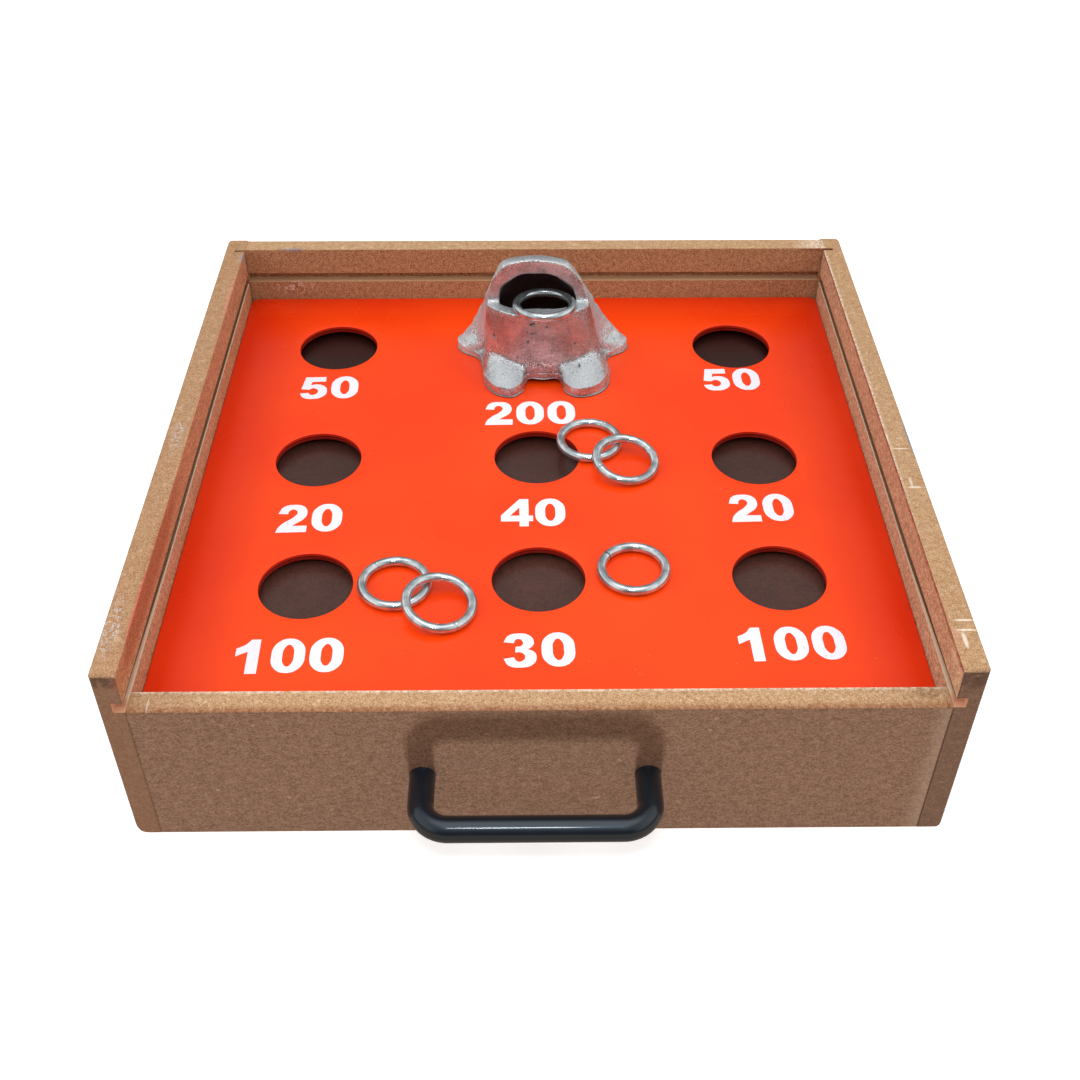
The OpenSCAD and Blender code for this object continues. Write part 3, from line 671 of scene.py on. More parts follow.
# colours laid over one another by their masks; dull is the largest mask, and takes metal away
def makeCastMetal(finish):
    material, shader, place, normal = newMaterial("castAluminium")
    skin = useGroup(pitGroup, {"Vector": place, **finish["skin"]})
    coarse = useGroup(pitGroup, {"Vector": place, **finish["coarse"]})
    cloud = noise(place, finish["cloud"], 3.0, 0.6)
    sand = noise(place, finish["sand"], 2.0, 0.6)
    up, z = parts(normal)[2], parts(place)[2]
    masks = ("pit", "cave", "grit", "crease", "haunch")
    deep, cave, grit, crease, flank = (meshMask(place.tree, key) for key in masks)
    filed = ease(up, *finish["filedFrom"])
    colour = blendColour(ease(cloud, *finish["cloudFrom"]), finish["dull"], finish["bright"])
    colour = blendColour(filed, colour, finish["filed"])
    # painted light: haunches paler and bluish, cancelling the board's red light
    colour = blendColour(flank * finish["flankShare"], colour, finish["flank"])
    # pale grains, partly sand and partly painted glints of the sky where the skin looks up, then dark ones
    sloping = most(ease(up, *finish["slopeFrom"]), past(z, 0, finish["grainFrom"]))
    share = most(sloping, grit) * finish["grainShare"] + finish["grainLeast"]
    edge = finish["grainEdge"] - grit * finish["grainGrit"]
    pale = ease(sand, edge, edge + finish["grainFade"]) * (share * (1.0 - filed * finish["grainFiled"]))
    colour = blendColour(pale, colour, finish["grain"])
    dusky = ease(sand, *finish["darkEdge"]) * (grit * finish["darkGrit"] + finish["darkShare"])
    colour = blendColour(dusky, colour, finish["dark"])
    # painted shade in the creases, pits with the painted contact shadow at the base, and the hollow's painted
    # shade
    pits = most(skin["Pits"], coarse["Pits"]) * finish["pitShare"]
    dark = most(pits, most(deep, past(z, 0, finish["contactShadeFrom"])))
    # painted shade: darker in hollow places and along the fold
    colour = blendColour(crease * finish["creaseShare"], colour, finish["dark"])
    colour = blendColour(dark, colour, finish["pit"])
    # painted shade inside the hollow, tinted by the board's red light
    colour = blendColour(cave, colour, finish["cave"])
    rough = skin["Grain"] * finish["grainRough"] + finish["roughness"]
    rough = rough + most(cave, filed) * finish["filedRough"]
    dull = most(most(most(dark, cave), pale * finish["paleDull"]), flank * finish["flankDull"])
    relief = coarse["Relief"] * finish["coarseRelief"] + (skin["Relief"] + sand)
    fill(shader, {"Base Color": colour, "Roughness": rough,
                  "Metallic": finish["bare"] - dull * finish["dullLoss"],
                  "Normal": bump(relief, finish["relief"], finish["reliefDepth"])})
    return material


# bright metal of ring wire and nails: clouded, pitted and scratched, dark where the mesh marks a seam
ringFinish = {"bright": linear(214, 222, 224), "dull": linear(174, 185, 189), "roughness": 0.08, "bare": 0.9,
              "pits": {"Scale": 420.0, "Amount": 0.3}}
nailFinish = {"bright": linear(190, 190, 192), "dull": linear(120, 116, 112), "roughness": 0.3, "bare": 1.0,
              "pits": {"Scale": 420.0, "Amount": 0.45}}
metalWear = {"scuffs": {"Fine": 2.2, "Amount": 0.36}, "cloud": 160.0, "cloudFrom": (0.35, 0.65),
             "pitShare": 0.5, "wearRough": 0.08, "seam": grey(0.01), "relief": 0.08, "reliefDepth": 0.2 * mm}


# two tones by a soft cloud, then pits and seam; cloud and scratches add to the roughness
def makeBrightMetal(name, finish, wear):
    material, shader, place, _ = newMaterial(name)
    pits = useGroup(pitGroup, {"Vector": place, **finish["pits"]})
    scuff = useGroup(scuffGroup, {"Vector": place, **wear["scuffs"]})["Mask"]
    cloud = noise(place, wear["cloud"], 2.0, 0.5)
    colour = blendColour(ease(cloud, *wear["cloudFrom"]), finish["bright"], finish["dull"])
    colour = blendColour(pits["Pits"] * wear["pitShare"], colour, finish["dull"])
    colour = blendColour(meshMask(place.tree, "seam"), colour, wear["seam"])
    rough = (cloud + scuff) * wear["wearRough"] + finish["roughness"]
    fill(shader, {"Base Color": colour, "Roughness": rough, "Metallic": finish["bare"],
                  "Normal": bump(pits["Relief"], wear["relief"], wear["reliefDepth"])})
    return material


# moulded black plastic of the handle: clouded and scratched, glossier where it looks up
blackFinish = {
    "deep": linear(8, 12, 18), "worn": linear(22, 32, 44), "wornShare": 0.35,
    "cloud": 70.0, "scuffs": {"Fine": 1.6, "Amount": 0.33}, "speckle": {"Scale": 900.0, "Amount": 0.25},
    "roughness": 0.26, "cloudRough": 0.16, "sheen": 0.36, "sheenTint": (0.55, 0.78, 1.0, 1),
    "gloss": 0.1, "glossFrom": (-0.1, 0.45), "glossLeast": 0.1, "glossMore": 0.56,
    "relief": 0.1, "reliefDepth": 0.1 * mm,
}


# two tones by cloud and scratches; the coat grows as the surface looks up
def makeBlackPlastic(finish):
    material, shader, place, normal = newMaterial("blackPlastic")
    cloud = noise(place, finish["cloud"], 3.0, 0.6)
    scuff = useGroup(scuffGroup, {"Vector": place, **finish["scuffs"]})["Mask"]
    speckle = useGroup(pitGroup, {"Vector": place, **finish["speckle"]})
    colour = blendColour((cloud + scuff) * finish["wornShare"], finish["deep"], finish["worn"])
    polish = ease(parts(normal)[2], *finish["glossFrom"]) * finish["glossMore"] + finish["glossLeast"]
    fill(shader, {"Base Color": colour, "Roughness": cloud * finish["cloudRough"] + finish["roughness"],
                  "Specular IOR Level": finish["sheen"], "Specular Tint": finish["sheenTint"],
                  "Coat Weight": polish, "Coat Roughness": finish["gloss"],
                  "Normal": bump(speckle["Grain"], finish["relief"], finish["reliefDepth"])})
    return material


# white film of the numerals, with faint bubbles and creases
filmFinish = {
    "white": linear(238, 236, 244), "shade": linear(222, 219, 230), "roughness": 0.4,
    "bubbles": {"Scale": 420.0, "Amount": 0.45}, "bubbleShare": 0.6,
    "relief": 0.1, "reliefDepth": 0.2 * mm,
    "stretch": (700, 160, 160), "turn": (0, 0, 30), "creaseFrom": (0.6, 0.75),
}


# white, shaded by bubbles and then by creases
def makeWhiteFilm(finish):
    material, shader, place, _ = newMaterial("whiteFilm")
    bubbles = useGroup(pitGroup, {"Vector": place, **finish["bubbles"]})
    crease = noise(stretched(place, finish["stretch"], finish["turn"]), 1.0, 2.0, 0.5)
    colour = blendColour(bubbles["Pits"] * finish["bubbleShare"], finish["white"], finish["shade"])
    colour = blendColour(ease(crease, *finish["creaseFrom"]), colour, finish["shade"])
    fill(shader, {"Base Color": colour, "Roughness": finish["roughness"],
                  "Normal": bump(bubbles["Relief"], finish["relief"], finish["reliefDepth"])})
    return material


fibreboard = makeFibreboard(fibreboardFinish, fibreboardBands, rubMarks)
redSheet = makeRedPaint(redPaint)
hardboard = makeHardboard(hardboardFinish)
softwood = makeSoftwood(softwoodFinish)
castMetal = makeCastMetal(castFinish)
ringMetal = makeBrightMetal("ringZinc", ringFinish, metalWear)
nailMetal = makeBrightMetal("nailSteel", nailFinish, metalWear)
blackPlastic = makeBlackPlastic(blackFinish)
whiteFilm = makeWhiteFilm(filmFinish)
print("materials built")


# coordinates side by side, each spread to the size of the largest
def columns(*values):
    return np.stack(np.broadcast_arrays(*values), -1)


# points from places in plan and their heights
def lifted(plan, height):
    return columns(plan[..., 0], plan[..., 1], height)


# vector divided by its own length
def unit(vector):
    return vector / np.linalg.norm(vector, axis=-1, keepdims=True)


# angles of a quarter turn, with both ends
def quarterTurn(count):
    return np.linspace(0, np.pi / 2, count)


# angles of a full turn, without its last
def fullTurn(count):
    return np.linspace(0, 2 * np.pi, count, endpoint=False)


# straight rise from 0 at the start to 1 at the end; a start above the end turns it round
def ramp(value, start, end):
    return np.clip((value - start) / (end - start), 0, 1)


# bell of height 1 round a middle
def hill(value, middle, spread):
    return np.exp(-((value - middle) / spread) ** 2)


# quads of a grid of points; a direction that closes on itself is wrapped
def gridQuads(rows, cols, wrapRows=False, wrapCols=False):
    index = np.arange(rows * cols).reshape(rows, cols)
    index = np.vstack([index, index[:1]]) if wrapRows else index
    index = np.hstack([index, index[:, :1]]) if wrapCols else index
    return np.stack([index[:-1, :-1], index[1:, :-1], index[1:, 1:], index[:-1, 1:]], -1).reshape(-1, 4)


# patch of a piece: a grid of points with its quads
def sheet(points, wrapRows=False, wrapCols=False):
    return points, [gridQuads(*points.shape[:2], wrapRows, wrapCols)]


# a profile carried along a path, rows along the path, with both ends closed by a flat cap
def capped(points):
    index = np.arange(points.size // 3).reshape(points.shape[:2])
    return points, [gridQuads(*points.shape[:2], wrapCols=True), index[:1, ::-1], index[-1:]]


# joins patches of points and faces into one object at the origin
def makePiece(name, patches, sharpAngle=40):
    starts = np.cumsum([0] + [p.size // 3 for p, _ in patches])
    points = np.concatenate([p.reshape(-1, 3) for p, _ in patches])
    faces = [f + start for (_, sets), start in zip(patches, starts) for f in sets]
    totals = np.concatenate([np.full(len(f), f.shape[1]) for f in faces])
    mesh = bpy.data.meshes.new(name)
    mesh.vertices.add(len(points))
    mesh.vertices.foreach_set("co", points.ravel())
    mesh.loops.add(int(totals.sum()))
    mesh.loops.foreach_set("vertex_index", np.concatenate([f.ravel() for f in faces]).astype(np.int32))
    mesh.polygons.add(len(totals))
    mesh.polygons.foreach_set("loop_start", (np.cumsum(totals) - totals).astype(np.int32))
    mesh.update(calc_edges=True)
    return finishMesh(name, mesh, sharpAngle)


# merges shared points, turns faces outwards and shades smoothly between edges sharper than an angle
def finishMesh(name, mesh, sharpAngle):
    work = bmesh.new()
    work.from_mesh(mesh)
    bmesh.ops.remove_doubles(work, verts=work.verts, dist=1e-6)
    bmesh.ops.dissolve_degenerate(work, edges=work.edges, dist=1e-7)
    bmesh.ops.recalc_face_normals(work, faces=work.faces)
    work.to_mesh(mesh)
    work.free()
    mesh.polygons.foreach_set("use_smooth", np.ones(len(mesh.polygons), bool))
    mesh.set_sharp_from_angle(angle=np.radians(sharpAngle))
    piece = bpy.data.objects.new(name, mesh)
    bpy.context.scene.collection.objects.link(piece)
    return piece


# mask on the points of a piece
def setMask(piece, name, values):
    piece.data.attributes.new(name, "FLOAT", "POINT").data.foreach_set("value", values.ravel())


# material, body and the nodes that a piece stands for; its slot is not used
def dress(piece, body, slot, material, *replaced):
    piece.data.materials.clear()
    piece.data.materials.append(material)
    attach(piece, body)
    if replaced:
        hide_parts(*replaced)
    return piece


# small rounding of every sharp edge
def softenEdges(piece, width, segments=3, sharpAngle=40):
    bevel = piece.modifiers.new("arris", "BEVEL")
    bevel.width = width
    bevel.segments = segments
    bevel.limit_method = "ANGLE"
    bevel.angle_limit = np.radians(sharpAngle)
    bevel.harden_normals = True


# walls of the case
walls = {
    "cornerRadius": 4 * mm,
    "edgeRadius": 2 * mm,
    "footRadius": {-1: 8 * mm, 1: 4 * mm},   # lower outer edge of each side, worn round at its front end
    "footRun": 50 * mm,
    "footLeast": 0.8 * mm,
    "grooveDepth": 6.5 * mm,
    "kerfWidth": 3.2 * mm,
    "kerfDepth": 7.7 * mm,
    "arris": 0.35 * mm,
    "skin": 0.06 * mm,   # filler over the punched nails
    "roundSteps": 8,
}


# height lost at a distance from an edge of that radius: a quarter circle
def edgeDrop(distance, radius):
    inside = np.clip(radius - distance, 0, radius)
    return radius - np.sqrt(radius ** 2 - inside ** 2)


# rounded outer edge of a wall's top: a quarter circle; way is 1 where the wall's face looks up the axis
def topArc(face, top, way, size):
    turn, edge = quarterTurn(size["roundSteps"]), size["edgeRadius"]
    return columns(face + way * edge * (np.cos(turn) - 1), top + edge * (np.sin(turn) - 1))


# inner face of a wall from its top down, with the lid groove cut into it
def groovedFace(inside, top, size):
    deep = inside + size["grooveDepth"]
    return [[inside, top], [inside, grooveRoof], [deep, grooveRoof], [deep, grooveFloor],
            [inside, grooveFloor], [inside, 0]]


# wall from its section, carried along
def makeWall(name, node, points, size):
    piece = makePiece(name, [capped(points)])
    softenEdges(piece, size["arris"])
    return dress(piece, "case", "fibreboard", fibreboard, node)


# side panel: its section with the groove, carried from front to back; the outer corners, the worn foot and
# the saw slot change the section on the way
def makeSidePanel(name, node, side, size):
    outer, inner, top = rightHigh[0] + size["skin"], rightLow[0], rightHigh[2]
    front, back, inBack = rightLow[1], rightHigh[1], backLow[1]
    steps = size["roundSteps"]
    turn = quarterTurn(steps)
    section = np.array([*np.repeat([[outer, 0]], steps, 0), *topArc(outer, top, 1, size),
                        *groovedFace(inner, top, size)])
    # stations: round the front corner, along the worn foot, down and up the saw slot, round the back corner
    bend = size["cornerRadius"] * (1 - np.cos(turn))
    worn = np.linspace(size["cornerRadius"], size["footRun"], steps)[1:]
    nearFront = front + np.concatenate([bend, worn])
    slot = inBack - size["kerfWidth"]
    along = np.concatenate([nearFront, [slot, slot, inBack, inBack], back - bend[::-1]])
    station = np.arange(len(along)) - len(nearFront)
    inSlot = ((station == 1) | (station == 2))[:, None]
    pastSlot = (station > 2)[:, None]
    fromFront, fromBack = along - front, back - along
    isInner = section[:, 0] <= inner + size["grooveDepth"]
    across = np.where(pastSlot & isInner, inner, section[:, 0])
    across = np.where(inSlot & isInner, inner + size["kerfDepth"], across)
    height = np.repeat(section[None, :, 1], len(along), 0)
    share = ramp(fromFront, size["footRun"], 0)
    foot = size["footLeast"] + (size["footRadius"][side] - size["footLeast"]) * share ** 2 * (3 - 2 * share)
    across[:, :steps] = outer - foot[:, None] * (1 - np.sin(turn))
    height[:, :steps] = foot[:, None] * (1 - np.cos(turn))
    widest = outer - edgeDrop(np.minimum(fromFront, fromBack), size["cornerRadius"])
    highest = top - edgeDrop(fromFront, size["edgeRadius"])
    across = side * np.minimum(across, widest[:, None])
    points = columns(across, along[:, None], np.minimum(height, highest[:, None]))
    return makeWall(name, node, points, size)


# front and back panels: a section in depth and height, carried across between the sides
def makeCrossPanel(name, node, section, size):
    ends = np.array([-rightLow[0], rightLow[0]])
    return makeWall(name, node, columns(ends[:, None], *np.array(section).T), size)


face, inside = frontLow[1] - walls["skin"], frontHigh[1]
frontSection = [[face, 0], *topArc(face, frontHigh[2], -1, walls), [inside, frontHigh[2]], [inside, 0]]
face, inside = backHigh[1] + walls["skin"], backLow[1]
backSection = [[face, 0], *topArc(face, backHigh[2], 1, walls), *groovedFace(inside, backHigh[2], walls)]
makeSidePanel("leftSide", "side_panel_left", -1, walls)
makeSidePanel("rightSide", "side_panel_right", 1, walls)
makeCrossPanel("frontWall", "front_panel", frontSection, walls)
makeCrossPanel("backWall", "back_panel", backSection, walls)
print("walls built")


# handle: a round bar with a collar at each foot
bowHandle = {
    "radius": 7.5 * mm, "bend": 16 * mm, "sides": 40, "bendSteps": 24, "postFrom": 3 * mm, "postSteps": 12,
    # collar: its stations as shares of its length, and its rise at each as a share of the flare
    "collarLength": 1.5 * mm, "flare": 0.15 * mm,
    "collarAt": (0, 0.15, 0.7, 0.85, 1.0, 1.15), "collarRise": (0.7, 1, 1, 0.7, 0.2, 0),
}


# a circle of changing radius carried along a level path of two posts, two quarter bends and a grip
def makeHandle(size):
    low, high = nodeBox("handle")
    bar, bend, flare = size["radius"], size["bend"], size["flare"]
    wall, reach = high[1], low[1] + bar
    middle, height = (low[0] + high[0]) / 2, (low[2] + high[2]) / 2
    half = (high[0] - low[0]) / 2 - bar - flare
    turn = quarterTurn(size["bendSteps"])
    collar = wall - size["collarLength"] * np.array(size["collarAt"])
    shank = np.linspace(wall - size["postFrom"], reach + bend, size["postSteps"])[:-1]
    post = np.concatenate([collar, shank])
    corner = columns(-half + bend * (1 - np.cos(turn)), reach + bend * (1 - np.sin(turn)))
    left = np.concatenate([columns(-half, post), corner])
    path = np.concatenate([left, left[::-1] * [-1, 1]])
    ahead = unit(np.gradient(path, axis=0))
    ahead[:len(post)] = [0, -1]
    ahead[-len(post):] = [0, 1]
    beside = columns(ahead[:, 1], -ahead[:, 0])
    rise = flare * np.array(size["collarRise"])
    thick = np.full(len(path), bar)
    thick[:len(rise)] += rise
    thick[-len(rise):] += rise[::-1]
    around = fullTurn(size["sides"])
    plan = path[:, None] + beside[:, None] * (thick[:, None] * np.cos(around))[..., None]
    points = lifted(plan + [middle, 0], height + thick[:, None] * np.sin(around))
    piece = makePiece("bowHandle", [capped(points)], 50)
    return dress(piece, "case", "black_handle", blackPlastic, "handle")


makeHandle(bowHandle)
print("handle built")


# game board: cells round the score holes, and one without a hole under the frog
gameBoard = {
    "holes": [(-143, -116), (0, -111), (149, -111), (-149, 9), (0, 11), (149, 9),
              (-149, 146), None, (149, 146)],
    "holeRadius": 29 * mm,
    "columns": (-74.5 * mm, 74.5 * mm),
    "rows": (-51 * mm, 78 * mm),
    "cornerRadius": 6 * mm,
    "edge": 0.35 * mm,
    "grow": 0.65 * mm,   # nearer the walls than the bare frame, by its paint
    "sideSteps": 36, "flatSteps": 7, "edgeSteps": 5,
}


# points of a rectangle's rim from its low corner round, at the stops along both of its sides
def rimPoints(across, along):
    return np.concatenate([columns(across[:-1], along[0]), columns(across[-1], along[:-1]),
                           columns(across[:0:-1], along[-1]), columns(across[0], along[:0:-1])])


# pulls points beyond a corner's arc centre on to the arc
def roundCorners(plan, half, radius):
    over = np.abs(plan) - (half - radius)
    both = (over > 0).all(-1, keepdims=True)
    reach = np.linalg.norm(over, axis=-1, keepdims=True)
    pulled = half - radius + over * np.minimum(1, radius / np.maximum(reach, 1e-9))
    return np.where(both, np.sign(plan) * pulled, plan)


# heights over a rounded upper edge and a rounded lower one
def edgeLevels(top, bottom, size):
    down = size["edge"] * (1 - np.cos(quarterTurn(size["edgeSteps"])))
    return np.concatenate([top - down, (bottom + down)[::-1]])


# cell: from its rim straight in to the hole, over the hole's rounded edges and back under to the rim
def holeCell(rim, centre, top, bottom, size):
    away = rim - centre
    distance = np.linalg.norm(away, axis=1)
    share = np.linspace(0, 1, size["flatSteps"])[:-1, None]
    flat = distance + share * (size["holeRadius"] + size["edge"] - distance)
    arc = size["holeRadius"] + size["edge"] * (1 - np.sin(quarterTurn(size["edgeSteps"])))
    arc = np.repeat(arc[:, None], len(rim), 1)
    spread = np.concatenate([flat, arc, arc[::-1], flat[::-1]])
    level = [*np.full(len(flat), top), *edgeLevels(top, bottom, size), *np.full(len(flat), bottom)]
    return lifted(centre + spread[..., None] * unit(away), np.array(level)[:, None])


# outer edge: the board's rim carried out over a rounded upper arris, down and under
def outerEdge(rim, half, top, bottom, size):
    inset = half - size["edge"]
    loop = roundCorners(rim, inset, size["cornerRadius"] - size["edge"])
    wide = roundCorners(rim * half / inset, half, size["cornerRadius"])
    plan = loop + np.sin(quarterTurn(size["edgeSteps"]))[:, None, None] * (wide - loop)
    return lifted(np.concatenate([plan, plan[::-1]]), edgeLevels(top, bottom, size)[:, None])


# whole board: a patch for each cell, joined along the cells' rims, and the outer edge
def makeBoard(size):
    low, high = nodeBox("game_board")
    half, top, bottom = high[:2] + size["grow"], high[2], low[2]
    inset, corner = half - size["edge"], size["cornerRadius"] - size["edge"]
    cuts = [[-inset[0], *size["columns"], inset[0]], [-inset[1], *size["rows"], inset[1]]]
    stops = [[np.linspace(a, b, size["sideSteps"] + 1) for a, b in zip(line[:-1], line[1:])] for line in cuts]
    patches = []
    for number, hole in enumerate(size["holes"]):
        row, column = divmod(number, len(stops[0]))
        across, along = stops[0][column], stops[1][row]
        if hole is None:
            plan = roundCorners(columns(across[:, None], along), inset, corner)
            patches += [sheet(lifted(plan, top)), sheet(lifted(plan, bottom))]
        else:
            rim = roundCorners(rimPoints(across, along), inset, corner)
            patches.append(sheet(holeCell(rim, mm * np.array(hole), top, bottom, size), wrapCols=True))
    across, along = (np.concatenate([*(run[:-1] for run in line), line[-1][-1:]]) for line in stops)
    patches.append(sheet(outerEdge(rimPoints(across, along), half, top, bottom, size), wrapCols=True))
    piece = makePiece("redBoard", patches, 50)
    return dress(piece, "board", "red_board", redSheet, "game_board")


makeBoard(gameBoard)
print("board built")


# numerals: each digit is one or two closed outlines of points in mm, 27.3 high; a third value marks a corner
digitOutlines = {
    "0": [[(9.8, 0), (17, 3.6), (19.6, 13.7), (17, 23.7), (9.8, 27.4), (2.6, 23.7), (0, 13.7), (2.6, 3.6)],
          [(9.8, 5), (12.2, 7.4), (13.1, 13.7), (12.2, 20), (9.8, 22.4), (7.4, 20), (6.5, 13.7), (7.4, 7.4)]],
    "1": [[(6.9, 0, 1), (13.7, 0, 1), (13.7, 27.2, 1), (8.2, 27.2, 1), (5.2, 23.2), (0, 20.2, 1), (0, 14, 1),
           (6.9, 17.6, 1)]],
    "2": [[(0, 0, 1), (19.6, 0, 1), (19.6, 6.2, 1), (9.9, 6.2, 1), (12.5, 8.6), (17.3, 13.2), (19, 19.2),
           (16.4, 25.4), (9.9, 27.3), (3.4, 25.4), (0.3, 18.6, 1), (6.5, 18, 1), (7.4, 21.3), (9.8, 22.6),
           (12.6, 19.6), (10.6, 15), (4.6, 9.4), (1.4, 5)]],
    "3": [[(0, 7.2, 1), (2.8, 1.8), (9.4, 0), (16.6, 2), (19.2, 8), (17.6, 12.5), (14.2, 14.4, 1), (17, 16.8),
           (18, 20.4), (15.4, 25.7), (9, 27.4), (3, 25.7), (0.3, 20.6, 1), (6.3, 19.6, 1), (7.2, 22.2),
           (9.3, 23), (11.6, 20.2), (10.8, 17.4), (7.2, 16.5, 1), (6.9, 11.9, 1), (9.7, 12.2), (12.6, 8.4),
           (9.5, 4.6), (7.2, 5.6), (6.1, 8.2, 1)]],
    "4": [[(12, 0, 1), (18, 0, 1), (18, 5, 1), (20.8, 5, 1), (20.8, 10.5, 1), (18, 10.5, 1), (18, 27.2, 1),
           (12, 27.2, 1), (0, 10.9, 1), (0, 5, 1), (12, 5, 1)],
          [(12, 10.5, 1), (5.9, 10.5, 1), (12, 18.8, 1)]],
    "5": [[(0, 7, 1), (2.8, 1.8), (9.2, 0), (17, 2.9), (19.4, 9.4), (16.9, 15.9), (11, 18), (7.2, 17.1, 1),
           (8, 21.4, 1), (17.8, 21.4, 1), (17.8, 27.2, 1), (3, 27.2, 1), (0.6, 12.4, 1), (6.3, 11.6, 1),
           (9.4, 13.4), (13, 9.2), (9.6, 4.9), (7.2, 5.7), (6.2, 7.6, 1)]],
}
# words on the board: digits, left end and base line in mm, turn in degrees
numerals = {
    "advance": 22.3,
    "narrowAdvance": 20.9,   # after a 1
    "thickness": 0.1 * mm,
    "curveSteps": 14,
    "labels": [("score50Left", "50", -171.1, 79.0, 1.8), ("score200", "200", -36.2, 47.0, 1.0),
               ("score50Right", "50", 123.3, 87.6, 1.2), ("score20Left", "20", -168.4, -67.0, 1.8),
               ("score40", "40", -23.7, -62.1, 0.6), ("score20Right", "20", 126.0, -58.8, 1.5),
               ("score100Left", "100", -176.5, -189.6, 1.3), ("score30", "30", -20.7, -186.1, 1.7),
               ("score100Right", "100", 117.4, -182.2, 1.3)],
}


# closed curve through an outline's points, smooth or cornered at each
def addOutline(curve, outline, shift, steps):
    spline = curve.splines.new("BEZIER")
    spline.bezier_points.add(len(outline) - 1)
    for point, (x, y, *corner) in zip(spline.bezier_points, outline):
        point.co = ((x + shift) * mm, y * mm, 0)
        kind = "VECTOR" if corner else "AUTO"
        point.handle_left_type = kind
        point.handle_right_type = kind
    spline.use_cyclic_u = True
    spline.resolution_u = steps


# digits set side by side, filled, given the film's thickness, turned and laid on the board
def makeNumeral(name, text, left, base, turn, size):
    curve = bpy.data.curves.new(name, "CURVE")
    curve.dimensions = "2D"
    curve.fill_mode = "BOTH"
    curve.extrude = size["thickness"] / 2
    shift = 0
    for digit in text:
        for outline in digitOutlines[digit]:
            addOutline(curve, outline, shift, size["curveSteps"])
        shift += size["narrowAdvance"] if digit == "1" else size["advance"]
    holder = bpy.data.objects.new(name, curve)
    bpy.context.scene.collection.objects.link(holder)
    bpy.context.view_layer.update()
    mesh = bpy.data.meshes.new_from_object(holder.evaluated_get(bpy.context.evaluated_depsgraph_get()))
    bpy.data.objects.remove(holder)
    place = (left * mm, base * mm, nodeBox("game_board")[1][2] + size["thickness"] / 2)
    mesh.transform(Matrix.Translation(place) @ Matrix.Rotation(np.radians(turn), 4, "Z"))
    mesh.name = name
    return dress(finishMesh(name, mesh, 30), "board", "white_numerals", whiteFilm)


for label in numerals["labels"]:
    makeNumeral(*label, numerals)
print("numerals built:", len(numerals["labels"]))


